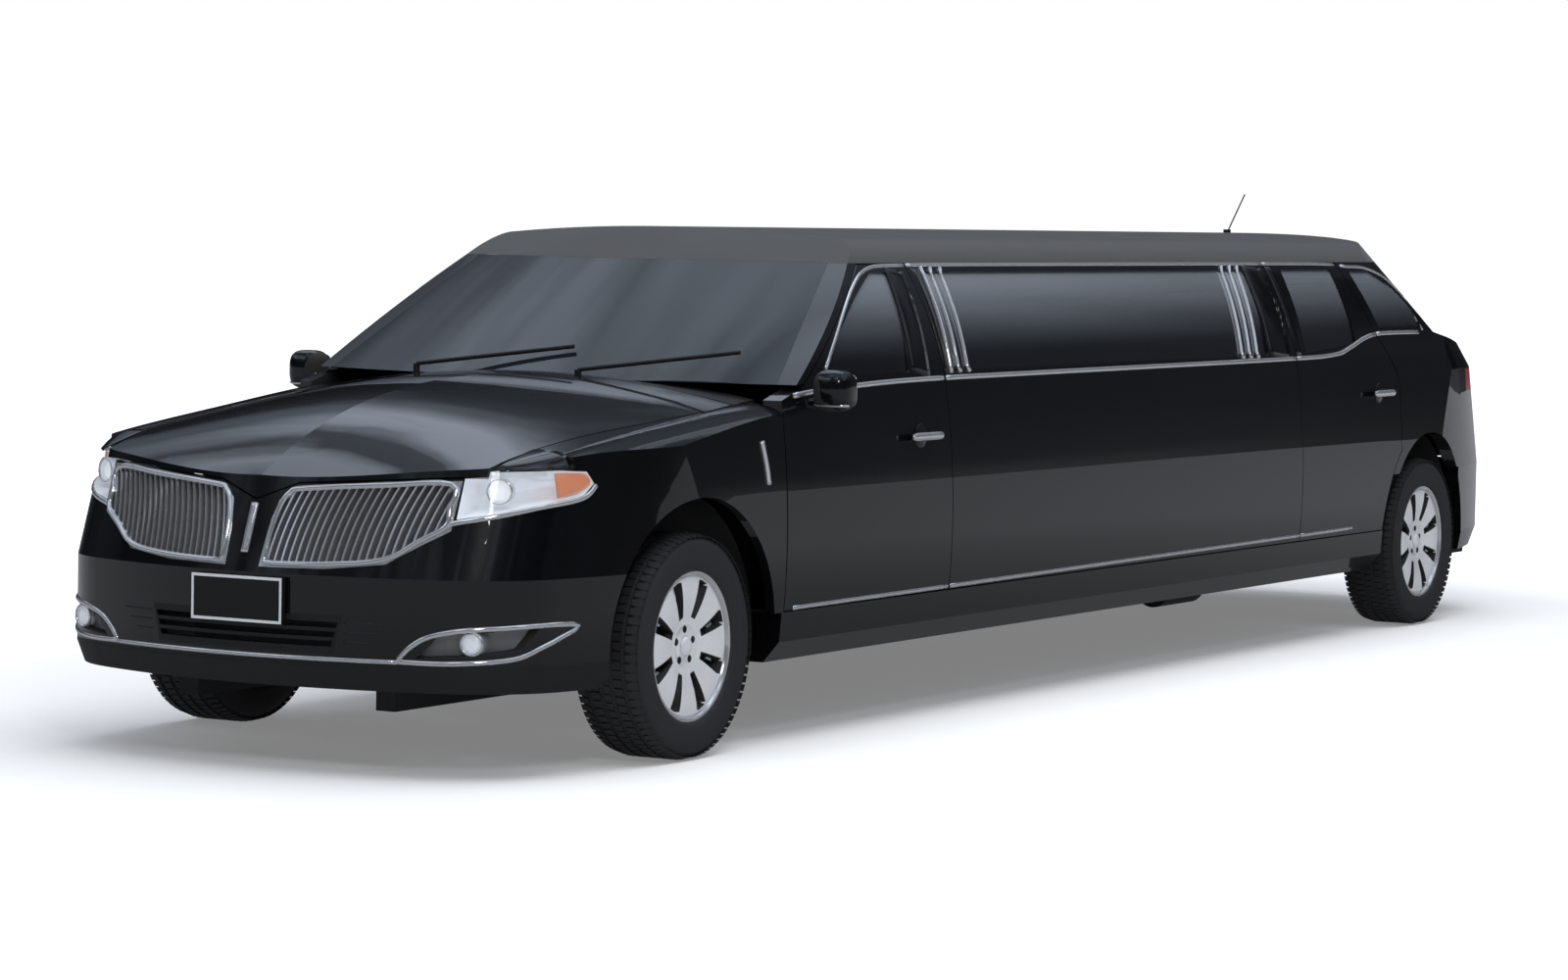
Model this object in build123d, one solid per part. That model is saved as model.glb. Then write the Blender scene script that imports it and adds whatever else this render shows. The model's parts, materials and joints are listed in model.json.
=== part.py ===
"""A stretched limousine: a large wagon-bodied saloon lengthened behind its front doors.

Millimetres. +X points forward, +Y to the car's left and +Z up. The origin lies on the ground
under the middle of the car's length and width. Lengths along the car are given from the two
axles: the front body from the front axle, the rear doors and the tail from the rear axle.
"""
import math
import os

from build123d import *

# Whole car
WHEELBASE = 6043.0
FRONT_OVERHANG = 1100.0
REAR_OVERHANG = 1177.0
LENGTH = FRONT_OVERHANG + WHEELBASE + REAR_OVERHANG
FRONT_AXLE_X = LENGTH / 2 - FRONT_OVERHANG
REAR_AXLE_X = FRONT_AXLE_X - WHEELBASE
TRACK_HALF = 827.0
SHUT_GAP = 5.0
SEAT_GAP = 0.3
PANEL_GAP = 0.6

# Body section, as half widths and heights
FLOOR_Z = 262.0
SILL_TUCK_Y = 892.0
SILL_Y = 950.0
SILL_EDGE_Z = 330.0
BULGE_Y = 965.0
BULGE_Z = 690.0
BELT_Y = 926.0
BELT_Z = 1150.0
GLASS_MID_Y = 857.0
GLASS_MID_Z = 1345.0
RAIL_Y = 757.0
RAIL_Z = 1530.0
CANT_MID_Y = 716.0
CANT_MID_Z = 1582.0
CANT_Y = 636.0
CANT_Z = 1611.0
ROOF_Z = 1640.0
WALL = 58.0
ROOF_WALL = 42.0
GLASS_SET_IN = 8.0
GLASS_THICK = 5.0

# Nose and tail in plan: centre arc, corner arc and side arc, each side symmetrical
NOSE_X = 1080.0
NOSE_RADIUS = 1750.0
CORNER_RADIUS = 380.0
FLANK_RADIUS = 3600.0
FLANK_REACH = 150.0
PLAN_HALF = 970.0
PLAN_REAR = LENGTH
TAIL_X = 1177.0
TAIL_RADIUS = 2300.0
TAIL_CORNER_RADIUS = 330.0
TAIL_FLANK_RADIUS = 3300.0
TAIL_FLANK_REACH = 60.0

# Nose lean: height, setback of the plan behind its foremost line
NOSE_CHIN_Z = 250.0
NOSE_CHIN_BACK = 45.0
NOSE_LOWER_Z = 330.0
NOSE_UPPER_Z = 600.0
NOSE_CREST_Z = 1250.0
NOSE_LEAN = 0.36
# Tail lean: height and setback
TAIL_CHIN_Z = 250.0
TAIL_CHIN_BACK = 120.0
TAIL_LOWER_Z = 370.0
TAIL_BUMPER_Z = 655.0
TAIL_WAIST_Z = 1075.0
TAIL_WAIST_BACK = 125.0
TAIL_DECK_Z = 1185.0
TAIL_DECK_BACK = 290.0
TAIL_CREST_Z = 1700.0
TAIL_CREST_BACK = 1010.0
# Greenhouse tail: at each height its radius in plan, and how far its centre lies ahead of the axle
HOUSE_LEVELS = (
    (1140.0, 1120.0, -75.0),
    (1235.0, 957.0, 176.0),
    (1730.0, 635.0, 467.0),
)

# Hood and fender tops: height at the cowl and at the nose
FRONT_SPAN = 1720.0
FRONT_SPAN_REAR = 620.0
CROWN_REAR_Z = 1165.0
CROWN_NOSE_Z = 800.0
EDGE_REAR_Z = 1098.0
EDGE_NOSE_Z = 815.0
FLANK_TOP_REAR_Z = 1060.0
FLANK_TOP_NOSE_Z = 785.0
HOOD_EDGE_Y = 800.0
HOOD_FRONT_HALF = 690.0
HOOD_PARALLEL = 130.0
FRONT_WALL = 30.0
HOOD_CREASE = 9.0
CROWN_QUARTER_SHARE = 0.75
SHOULDER_SHARE = 0.36
SHOULDER_BULGE_SHARE = 0.32
SHOULDER_RISE_SHARE = 0.68
# columns: station along the front span from its rear end, then how far the crown, the hood's
# edge and the fender's flank still are above their nose heights, and how much crease there is
FRONT_SECTION_SHARES = (
    (0.00, 1.00, 1.00, 1.00, 0.0),
    (0.30, 0.96, 0.82, 0.82, 0.5),
    (0.56, 0.82, 0.64, 0.58, 1.0),
    (0.79, 0.52, 0.42, 0.36, 1.0),
    (1.00, 0.00, 0.00, 0.00, 0.5),
)

# Windscreen: foot of its centre line, slope and the bow across the car
SCREEN_FOOT_X = -414.0
SCREEN_FOOT_Z = 1120.0
SCREEN_ANGLE = 29.2
SCREEN_HALF = 780.0
SCREEN_BOW = 58.0
SCREEN_FOOT_HALF = 868.0
SCREEN_HEAD_HALF = 694.0
SCREEN_LOW_Z = 1145.0
SCREEN_THICK = 6.0
PILLAR_WALL = 50.0

# Shut lines, from the front axle
DOOR_FRONT_X = -520.0
DOOR_REAR_X = -1652.0
DOOR_SAIL_X = -668.0
DOOR_SAIL_Z = 1138.0
DOOR_SHOULDER_Z = 1098.0
DOOR_HEAD_X = -1318.0
DOOR_FOOT_Z = 430.0
DOOR_LEAN = 0.30
# Shut lines, from the rear axle
REAR_DOOR_FRONT_X = 1374.0
REAR_DOOR_HEAD_X = 620.0
REAR_DOOR_BELT_X = 500.0
REAR_DOOR_BELT_Z = 1235.0
REAR_DOOR_REAR_X = 330.0
REAR_DOOR_REAR_Z = 1060.0
ARCH_LAND = 55.0

# Wheels and arches
TYRE_RADIUS = 353.0
TYRE_WIDTH = 235.0
RIM_RADIUS = 246.0
RIM_WIDTH = 205.0
ARCH_RADIUS = 465.0
ARCH_INNER_FRONT_Y = 430.0
ARCH_INNER_REAR_Y = 585.0
LINER_THICK = 6.0

# Windows: outline on the skin. Front door from the front axle
WINDOW_FOOT_Z = 1168.0
WINDOW_HEAD_Z = 1500.0
FRONT_WINDOW_FOOT = (-815.0, -1410.0)
FRONT_WINDOW_ARCH = (-1070.0, 1347.0)
FRONT_WINDOW_HEAD = (-1385.0, -1530.0)
STRETCH_WINDOW_FRONT = (-1722.0, -1756.0)
# from the rear axle
STRETCH_WINDOW_REAR = (1640.0, 1570.0)
REAR_WINDOW_FRONT = (1270.0, 1215.0)
REAR_WINDOW_REAR = (730.0, 700.0)
REAR_WINDOW_KICK_Z = 1200.0
QUARTER_WINDOW = ((440.0, 1262.0), (520.0, 1492.0), (300.0, 1492.0), (40.0, 1400.0), (-20.0, 1290.0),
                  (-10.0, 1262.0))

# Hinge leaves: heights on the doors, size, and how far they lie behind the skin
HINGE_LOW_Z = 560.0
HINGE_HIGH_Z = 900.0
HINGE_HEIGHT = 80.0
HINGE_SET_IN = 10.0
HOOD_HINGE_WIDTH = 60.0
HOOD_HINGE_HEIGHT = 18.0

# Cutters
CUT_OUTER_Y = 1010.0
CUT_DEPTH = 520.0
PLAN_MARGIN = 60.0
ARCH_Z = 350.0
WINDOW_CORNER = 14.0
CABIN_FRONT_X = -200.0
HOOD_REAR_X = -440.0
HOOD_FRONT_X = 950.0
HOOD_LOW_Z = 700.0
HOOD_LINE = ((0.0, 815.0), (140.0, 868.0), (640.0, 900.0))
LAMP_DEPTH = 95.0
LAMP_INNER_Y = 645.0
LAMP_OUTLINE = ((985.0, 745.0), (985.0, 905.0), (935.0, 897.0), (834.0, 914.0), (714.0, 922.0),
                (548.0, 914.0), (520.0, 878.0), (568.0, 842.0), (726.0, 818.0), (875.0, 783.0))
WING_BACK_X = 800.0
WING_OUTLINE = ((61.0, 617.0), (66.0, 720.0), (84.0, 813.0), (139.0, 856.0), (420.0, 879.0),
                (640.0, 888.0),
                (636.0, 742.0), (560.0, 698.0), (467.0, 640.0), (285.0, 620.0))
WING_FRAME = 13.0
WING_SLATS = 22
WING_SLATS_FROM_Y = 86.0
WING_SLATS_TO_Y = 600.0
WING_SLAT_SWEEP = 73.0
SLAT_THICK = 6.0
INTAKE_LOW_Z = 372.0
INTAKE_HIGH_Z = 484.0
INTAKE_FOOT_HALF = 318.0
INTAKE_HEAD_HALF = 345.0
FOG_OUTLINE = ((985.0, 367.0), (960.0, 440.0), (750.0, 460.0), (800.0, 396.0))
FOG_INNER_Y = 540.0
CHIN_TOP_Z = 343.0
BUMPER_CUT_FOOT_X = 440.0
BUMPER_CUT_FOOT_Z = 560.0
BUMPER_CUT_HEAD_X = 600.0
BUMPER_CUT_HEAD_Z = 850.0
GATE_OUTLINE = ((600.0, 662.0), (680.0, 1075.0), (650.0, 1185.0), (540.0, 1590.0))
GATE_WINDOW = ((565.0, 1265.0), (470.0, 1545.0))
GATE_FRONT_X = -250.0
TAIL_LAMP_LOW_Z = 975.0
TAIL_LAMP_HIGH_Z = 1068.0
TAIL_LAMP_INNER_Y = 710.0
TAIL_LAMP_FRONT_X = -600.0
QUARTER_LOW_Z = 655.0
SILL_ENDS = 505.0
SILL_INNER_Y = 830.0
FLOOR_THICK = 30.0
FLOOR_TAIL_SET_IN = 430.0
LINER_OUTER_Y = 870.0
LINER_SKIRT = 60.0
TYRE_SHOULDER = 20.0
TYRE_WALL_LAND = 10.0
TYRE_SIDES = 60
RIM_SEAT = 14.0
RIM_WALL = 9.0
RIM_LIP = 10.0
RIM_LIP_RADIUS = 236.0
TYRE_BEAD_Y = RIM_WIDTH / 2 - RIM_LIP - RIM_SEAT / 6
SPOKE_THICK = 26.0
SPOKE_DISH = 20.0
HUB_RADIUS = 74.0
STUB_SHARE = 0.8
POCKET_HUB_LAND = 10.0
POCKET_RIM_LAND = 8.0
POCKET_INNER_HALF = 5.0
POCKET_OUTER_HALF = 17.0
SPOKES = 8
HAT_DEPTH = 40.0
DISC_THICK = 24.0
DISC_RADIUS = 165.0
GATE_LAMP_HALF = 610.0
REAR_BUMPER_FRONT_X = -385.0
INTAKE_FRAME = 9.0
INTAKE_SLATS = 4
INTAKE_SLAT_THICK = 11.0
PLATE_HALF = 165.0
PLATE_LOW_Z = 452.0
PLATE_HIGH_Z = 588.0
PLATE_CORNER = 8.0
FOG_LAMP_Y = 715.0
FOG_LAMP_Z = 414.0
FOG_LAMP_RADIUS = 38.0
FOG_LAMP_BACK_X = 800.0
FOG_LAMP_X = 915.0
COWL_TUCK = 60.0
COWL_LOW_Z = 1010.0
FIREWALL_THICK = 12.0
ENGINE_REAR_X = -220.0
ENGINE_FRONT_X = 430.0
ENGINE_HALF = 300.0
ENGINE_LOW_Z = 235.0
ENGINE_HIGH_Z = 860.0
SUBFRAME_HALF_X = 230.0
SUBFRAME_HALF_Y = 400.0
SUBFRAME_LOW_Z = 185.0
SUBFRAME_LAP = 300.0
RAIL_WIDTH = 70.0
NOSE_RAIL_X = 840.0
ARM_ROOT_HALF = 150.0
ARM_TIP_HALF = 26.0
ARM_LOW_Z = 198.0
ARM_HIGH_Z = 222.0
KINGPIN_Y = 690.0
KNUCKLE_HIGH_Z = 490.0
KNUCKLE_RADIUS = 24.0
STRUT_FOOT = 40.0
STRUT_RADIUS = 20.0
STRUT_TOP_Y = 600.0
STRUT_TOP_Z = 850.0
RADIATOR_X = 760.0
RADIATOR_THICK = 60.0
RADIATOR_HALF = 360.0
RADIATOR_HIGH_Z = 800.0
AXLE_RADIUS = 45.0
AXLE_SLOT = 130.0
TRAIL_Y = 480.0
TRAIL_LENGTH = 520.0
TRAIL_RADIUS = 26.0
MIRROR_ROUND = 26.0
MIRROR_STEM_SHARES = (0.3, 0.7)
HANDLE_ROUND_SHARE = 0.4
QUARTER_INNER_Y = 606.0
AXLE_HUMP_Z = 440.0
AXLE_HUMP_WALL = 8.0
TRAIL_LOW_Z = 205.0
TRAIL_HIGH_Z = 245.0
MIRROR_ROOT_X = -700.0
MIRROR_X = -640.0
MIRROR_TIP_Y = 1092.0
MIRROR_ROOT_Y = 968.0
MIRROR_LOW_Z = 1062.0
MIRROR_HIGH_Z = 1196.0
MIRROR_DEPTH = 112.0
HANDLE_LENGTH = 210.0
HANDLE_HEIGHT = 26.0
HANDLE_STAND = 34.0
HANDLE_BAR = 12.0
FRONT_HANDLE_X = -1440.0
FRONT_HANDLE_Z = 956.0
REAR_HANDLE_X = 560.0
REAR_HANDLE_Z = 996.0
DASH_REAR_X = -980.0
DASH_FRONT_X = DOOR_FRONT_X - COWL_TUCK - SEAT_GAP
DASH_HALF = 780.0
DASH_LOW_Z = 560.0
DASH_BROW_Z = 1020.0
DASH_FRONT_Z = 1055.0
STEER_Y = -370.0
STEER_X = -1130.0
STEER_Z = 890.0
STEER_RADIUS = 185.0
STEER_GRIP = 15.0
STEER_TILT = 25.0
STEER_HUB = 60.0
STEER_GRIP_SIDES = 8
STEER_COLUMN_SHARE = 0.6
SEAT_HALF = 245.0
SEAT_Y = 370.0
SEAT_FRONT_X = -1150.0
SEAT_REAR_X = -1640.0
SEAT_PAN_Z = 480.0
SEAT_THICK = 150.0
SEAT_BACK_TOP_Z = 1120.0
SEAT_BACK_THICK = 130.0
SEAT_BACK_TOP_SHARE = 0.7
SEAT_RECLINE = 110.0
HEADREST_HALF = 120.0
HEADREST_HEIGHT = 170.0
HEADREST_THICK = 95.0
PLINTH_SET_IN = 60.0
BENCH_Z = 520.0
BENCH_PAD = 130.0
BENCH_BACK_Z = 1030.0
BENCH_BACK_THICK = 120.0
BENCH_DEPTH = 540.0
BENCH_ROUND = 30.0
SIDE_BENCH_FRONT_X = -2500.0
SIDE_BENCH_Y = 330.0
SIDE_BENCH_WALL_Y = 825.0
REAR_BENCH_X = 420.0
BAR_FRONT_X = -2400.0
BAR_REAR_X = 1900.0
BAR_INNER_Y = 560.0
BAR_TOP_Z = 800.0
WIPER_RADIUS = 7.0
WIPER_SPINDLE_RADIUS = 11.0
ANTENNA_X = 3.0
ANTENNA_Z = 1806.0
ANTENNA_LEAN = 178.0
ANTENNA_RADIUS = 3.0
ANTENNA_BASE_RADIUS = 16.0
ANTENNA_BASE_HEIGHT = 14.0
EXHAUST_RADIUS = 30.0
EXHAUST_Y = 250.0
MUFFLER_RADIUS = 75.0
EXHAUST_Z = FLOOR_Z - SEAT_GAP - MUFFLER_RADIUS
WIPER_PIVOT_Y = 420.0
WIPER_Z = 1174.0
WIPER_RUN = 150.0
WIPER_SPAN = 520.0
WIPER_RISE = 70.0
EXHAUST_END_X = 560.0
MUFFLER_LENGTH = 350.0
half_gap = SHUT_GAP / 2


def fore(distance):
    """The X place of a distance ahead of the front axle."""
    return FRONT_AXLE_X + distance


def aft(distance):
    """The X place of a distance ahead of the rear axle."""
    return REAR_AXLE_X + distance


def outline(start, *steps):
    """A closed flat face: each step is a corner, or a point on an arc with the arc's end."""
    edges, here = [], start
    for step in steps:
        if isinstance(step[0], tuple):
            edges.append(ThreePointArc(here, step[0], step[1]))
            here = step[1]
        else:
            edges.append(Line(here, step))
            here = step
    if here != start:
        edges.append(Line(here, start))
    return make_face(edges).face()


def circle_y(z, low, mid, high):
    """The half width at height z on the arc through three (half width, height) points."""
    (ax, ay), (bx, by), (cx, cy) = low, mid, high
    d = 2 * (ax * (by - cy) + bx * (cy - ay) + cx * (ay - by))
    ux = ((ax * ax + ay * ay) * (by - cy) + (bx * bx + by * by) * (cy - ay)
          + (cx * cx + cy * cy) * (ay - by)) / d
    uy = ((ax * ax + ay * ay) * (cx - bx) + (bx * bx + by * by) * (ax - cx)
          + (cx * cx + cy * cy) * (bx - ax)) / d
    radius = math.hypot(ax - ux, ay - uy)
    return ux + math.copysign(math.sqrt(max(radius * radius - (z - uy) ** 2, 0)), bx - ux)


def skin_y(z):
    """The half width of the outer skin at height z."""
    if z <= BELT_Z:
        return circle_y(z, (SILL_Y, SILL_EDGE_Z), (BULGE_Y, BULGE_Z), (BELT_Y, BELT_Z))
    return circle_y(z, (BELT_Y, BELT_Z), (GLASS_MID_Y, GLASS_MID_Z), (RAIL_Y, RAIL_Z))


def section(side, top):
    """The body's section across the car, set in by side at the flanks and top at the roof."""
    low = FLOOR_Z + (side if side > GLASS_SET_IN + GLASS_THICK else 0)
    tuck = (SILL_TUCK_Y - side, low)
    sill = (SILL_Y - side, SILL_EDGE_Z + low - FLOOR_Z)
    belt = (BELT_Y - side, BELT_Z)
    rail = (RAIL_Y - side, RAIL_Z - top / 3)
    cant = (CANT_Y - side, CANT_Z - top)
    return outline(
        (0, low), tuck, sill,
        ((BULGE_Y - side, BULGE_Z), belt),
        ((GLASS_MID_Y - side, GLASS_MID_Z), rail),
        ((CANT_MID_Y - side, CANT_MID_Z - top * 2 / 3), cant),
        ((0, ROOF_Z - top), (-cant[0], cant[1])),
        ((-CANT_MID_Y + side, CANT_MID_Z - top * 2 / 3), (-rail[0], rail[1])),
        ((-GLASS_MID_Y + side, GLASS_MID_Z), (-belt[0], belt[1])),
        ((-BULGE_Y + side, BULGE_Z), (-sill[0], sill[1])),
        (-tuck[0], tuck[1]),
    )


def section_run(side, top, rear, front):
    """The body section extruded between two X places."""
    return extrude(Plane.YZ.offset(rear) * section(side, top), amount=front - rear)


def plan_face(tip, radius, corner, flank, flank_back, wall, direction):
    """The plan of the nose or tail, symmetrical, set in by wall. Direction is 1 at the nose."""
    centre_x = tip - radius
    side_c = (-flank_back, PLAN_HALF - flank)
    apart = math.hypot(side_c[0] - centre_x, side_c[1])
    from_nose, from_side = radius - corner, flank - corner
    along = (from_nose ** 2 - from_side ** 2 + apart ** 2) / (2 * apart)
    across = math.sqrt(from_nose ** 2 - along ** 2)
    ex = ((side_c[0] - centre_x) / apart, side_c[1] / apart)
    corner_c = (centre_x + along * ex[0] - across * ex[1], along * ex[1] + across * ex[0])
    if corner_c[1] < 0:
        corner_c = (centre_x + along * ex[0] + across * ex[1], along * ex[1] - across * ex[0])

    def at(centre, r, angle):
        return (centre[0] + (r - wall) * math.cos(angle), centre[1] + (r - wall) * math.sin(angle))

    nose_end = math.atan2(corner_c[1], corner_c[0] - centre_x)
    side_start = math.atan2(corner_c[1] - side_c[1], corner_c[0] - side_c[0])
    right_angle = math.pi / 2
    points = [
        at((centre_x, 0), radius, 0),
        at((centre_x, 0), radius, nose_end),
        at(corner_c, corner, (nose_end + side_start) / 2),
        at(corner_c, corner, side_start),
        at(side_c, flank, (side_start + right_angle) / 2),
        at(side_c, flank, right_angle),
        (-PLAN_REAR, PLAN_HALF - wall),
    ]
    p = [(direction * x, y) for x, y in points]
    m = [(x, -y) for x, y in p]
    return outline(
        m[6], m[5], (m[4], m[3]), (m[2], m[1]), (p[0], p[1]), (p[2], p[3]), (p[4], p[5]), p[6],
    )


def stack(face, levels):
    """A body whose plan slides along X with height: one straight-sided layer between levels."""
    layers = None
    for (z0, x0), (z1, x1) in zip(levels, levels[1:]):
        placed = Plane.XY.offset(z0) * Pos(x0, 0) * face
        rise, run = z1 - z0, x1 - x0
        layer = extrude(placed, amount=math.hypot(rise, run), dir=(run, 0, rise))
        layers = layer if layers is None else layers + layer
    return layers


def nose_stack(wall):
    face = plan_face(NOSE_X, NOSE_RADIUS, CORNER_RADIUS, FLANK_RADIUS, FLANK_REACH, wall, 1)
    return stack(face, [
        (NOSE_CHIN_Z, fore(-NOSE_CHIN_BACK)),
        (NOSE_LOWER_Z, fore(0)),
        (NOSE_UPPER_Z, fore(0)),
        (NOSE_CREST_Z, fore(-NOSE_LEAN * (NOSE_CREST_Z - NOSE_UPPER_Z))),
    ])


def tail_stack(wall):
    face = plan_face(
        TAIL_X, TAIL_RADIUS, TAIL_CORNER_RADIUS, TAIL_FLANK_RADIUS, TAIL_FLANK_REACH, wall, -1)
    return stack(face, [
        (TAIL_CHIN_Z, aft(TAIL_CHIN_BACK)),
        (TAIL_LOWER_Z, aft(0)),
        (TAIL_BUMPER_Z, aft(0)),
        (TAIL_WAIST_Z, aft(TAIL_WAIST_BACK)),
        (TAIL_DECK_Z, aft(TAIL_DECK_BACK)),
        (TAIL_CREST_Z, aft(TAIL_CREST_BACK)),
    ])


def tail_house(wall):
    """Everything within the rounded tail of the greenhouse, or below it, set in by wall."""
    levels = [Plane.XY.offset(z) * Pos(aft(x), 0) * outline(
        (WHEELBASE, radius - wall), (0, radius - wall),
        ((wall - radius, 0), (0, wall - radius)), (WHEELBASE, wall - radius))
        for z, radius, x in HOUSE_LEVELS]
    house = block((aft(-TAIL_X - PLAN_MARGIN), -CUT_OUTER_Y, 0),
                  (fore(0), CUT_OUTER_Y, HOUSE_LEVELS[0][0]))
    for low, high in zip(levels, levels[1:]):
        house += loft([low, high], ruled=True)
    return house


def tail_room(wall):
    """Everything ahead of the tail's surface, set in by wall."""
    return tail_stack(wall) & tail_house(wall)


def front_loft(wall):
    """The front body's run of sections, from behind the cowl to ahead of the nose."""
    faces = []
    for station, crown, edge, flank, crease in FRONT_SECTION_SHARES:
        x = fore(station * FRONT_SPAN - FRONT_SPAN_REAR)
        zc = CROWN_NOSE_Z + crown * (CROWN_REAR_Z - CROWN_NOSE_Z) - wall
        ze = EDGE_NOSE_Z + edge * (EDGE_REAR_Z - EDGE_NOSE_Z) - wall
        zf = FLANK_TOP_NOSE_Z + flank * (FLANK_TOP_REAR_Z - FLANK_TOP_NOSE_Z) - wall
        yf = skin_y(zf + wall) - wall
        ye = HOOD_EDGE_Y - wall
        ym = ye + (yf - ye) * (SHOULDER_SHARE + SHOULDER_BULGE_SHARE)
        zm = zf + (ze - zf) * SHOULDER_RISE_SHARE
        zq = ze + (zc - ze) * CROWN_QUARTER_SHARE
        low = FLOOR_Z - wall
        faces.append(Plane.YZ.offset(x) * outline(
            (-SILL_TUCK_Y + wall, low), (SILL_TUCK_Y - wall, low), (SILL_Y - wall, SILL_EDGE_Z),
            ((BULGE_Y - wall, BULGE_Z), (yf, zf)),
            ((ym, zm), (ye, ze)),
            ((ye / 2, zq), (0, zc + HOOD_CREASE * crease)),
            ((-ye / 2, zq), (-ye, ze)),
            ((-ym, zm), (-yf, zf)),
            ((-BULGE_Y + wall, BULGE_Z), (-SILL_Y + wall, SILL_EDGE_Z)),
        ))
    return loft(faces)


def side_cut(face, lean=0.0):
    """A cutter for the left flank: an XZ face run inward, moving forward by lean as it goes."""
    placed = Plane((0, CUT_OUTER_Y, 0), x_dir=(1, 0, 0), z_dir=(0, -1, 0)) * face
    return extrude(placed, amount=CUT_DEPTH * math.hypot(1, lean), dir=(lean, -1, 0))


def across_cut(face, rear, front):
    """A cutter along the car: a YZ face run between two X places."""
    return extrude(Plane.YZ.offset(rear) * face, amount=front - rear)


def plan_cut(face, low, high):
    """A cutter from above: an XY face run between two heights."""
    return extrude(Plane.XY.offset(low) * face, amount=high - low)


def mirrored(shape):
    """The same piece on the car's right."""
    return mirror(shape, about=Plane.XZ)


def rod(start, end, radius):
    """A round bar between two points."""
    run = Vector(*end) - Vector(*start)
    return extrude(Plane(origin=start, z_dir=run) * Circle(radius), amount=run.length)


def block(low, high):
    """A box between its lowest and highest corners."""
    size = [b - a for a, b in zip(low, high)]
    centre = [(a + b) / 2 for a, b in zip(low, high)]
    return Pos(*centre) * Box(*size)


def drum(x, radius, inner_y, outer_y):
    """A drum across the car at a wheel's place, on the left."""
    middle = (inner_y + outer_y) / 2
    return Pos(x, middle, ARCH_Z) * Rot(90, 0, 0) * Cylinder(radius, outer_y - inner_y)


def leaned(x, z):
    """Where a point seen on the skin lies in the outline of a leaning door cut."""
    return (x - DOOR_LEAN * (CUT_OUTER_Y - skin_y(z)), z)


def grown(face, grow):
    """A flat face moved outward all round, its corners kept sharp."""
    return offset(face, amount=grow, kind=Kind.INTERSECTION).face() if grow else face


def door_cut(points, grow):
    """The leaning cutter of a door whose outline on the skin is given, grown all round."""
    steps = [tuple(leaned(*p) for p in step) if isinstance(step[0], tuple) else leaned(*step)
             for step in points]
    face = outline(*steps)
    return side_cut(grown(face, grow), DOOR_LEAN)


def hinge_leaves(points, edge_x):
    """Two leaves that fill the shut gap ahead of a left door's front edge, but for a seat's gap."""
    gap = door_cut(points, SHUT_GAP) - door_cut(points, SEAT_GAP)
    leaves = []
    for low in (HINGE_LOW_Z, HINGE_HIGH_Z):
        leaves.append(block(
            (edge_x - half_gap, skin_y(low) - FRONT_WALL, low),
            (edge_x + FRONT_WALL, skin_y(low) - HINGE_SET_IN, low + HINGE_HEIGHT)))
    return gap & (Part() + leaves)


def window_cut(points, grow):
    """A straight cutter for a side window, its corners rounded, grown all round."""
    face = outline(*points)
    face = fillet(face.vertices(), WINDOW_CORNER).face()
    return side_cut(grown(face, grow))


def screen_prism(inset):
    """Everything behind the windscreen's surface, set in by inset."""
    angle = math.radians(SCREEN_ANGLE)
    up = (-math.cos(angle), 0, math.sin(angle))
    radius = (SCREEN_HALF ** 2 + SCREEN_BOW ** 2) / (2 * SCREEN_BOW)
    half = BULGE_Y + PLAN_MARGIN
    bow = radius - math.sqrt(radius ** 2 - half ** 2)
    face = outline(
        (-half, bow + inset), ((0, inset), (half, bow + inset)), (half, LENGTH), (-half, LENGTH))
    foot = (fore(SCREEN_FOOT_X), 0, SCREEN_FOOT_Z)
    plane = Plane(origin=foot, x_dir=(0, 1, 0), z_dir=up)
    return extrude(plane.offset(-WHEELBASE / 2) * face, amount=LENGTH + WHEELBASE)


def hood_zone(grow):
    """The space the hood is cut from: its plan between the fenders, above the nose line."""
    rear, front = fore(HOOD_REAR_X) - grow, fore(NOSE_X)
    taper = fore(HOOD_REAR_X + HOOD_PARALLEL)
    plan = outline(
        (rear, -HOOD_EDGE_Y - grow), (rear, HOOD_EDGE_Y + grow), (taper, HOOD_EDGE_Y + grow),
        (fore(HOOD_FRONT_X), HOOD_FRONT_HALF + grow), (front, HOOD_FRONT_HALF + grow),
        (front, -HOOD_FRONT_HALF - grow), (fore(HOOD_FRONT_X), -HOOD_FRONT_HALF - grow),
        (taper, -HOOD_EDGE_Y - grow),
    )
    line = [(y, z - grow) for y, z in HOOD_LINE]
    face = outline(
        *line, (PLAN_HALF, line[-1][1]), (PLAN_HALF, NOSE_CREST_Z), (-PLAN_HALF, NOSE_CREST_Z),
        (-PLAN_HALF, line[-1][1]), *[(-y, z) for y, z in reversed(line[1:])],
    )
    return plan_cut(plan, HOOD_LOW_Z, NOSE_CREST_Z) & across_cut(face, rear, front)


def lamp_cut(grow):
    """The left headlamp's zone, seen from the side, outboard of the grille."""
    face = outline(*[(fore(x), z) for x, z in LAMP_OUTLINE])
    cut = side_cut(grown(face, grow))
    return cut & block(
        (fore(0), LAMP_INNER_Y - grow, NOSE_UPPER_Z), (fore(NOSE_X), PLAN_HALF, NOSE_CREST_Z))


def wing_cut(grow):
    """The left grille wing's zone, seen from ahead."""
    face = outline(WING_OUTLINE[0], *WING_OUTLINE[1:])
    face = grown(face, grow)
    return across_cut(face, fore(WING_BACK_X), fore(NOSE_X + PLAN_MARGIN))


def intake_cut(grow):
    """The lower intake's zone, seen from ahead."""
    low, high = INTAKE_LOW_Z - grow, INTAKE_HIGH_Z + grow
    foot, head = INTAKE_FOOT_HALF + grow, INTAKE_HEAD_HALF + grow
    face = outline((-foot, low), (foot, low), (head, high), (-head, high))
    return across_cut(face, fore(WING_BACK_X), fore(NOSE_X + PLAN_MARGIN))


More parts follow.
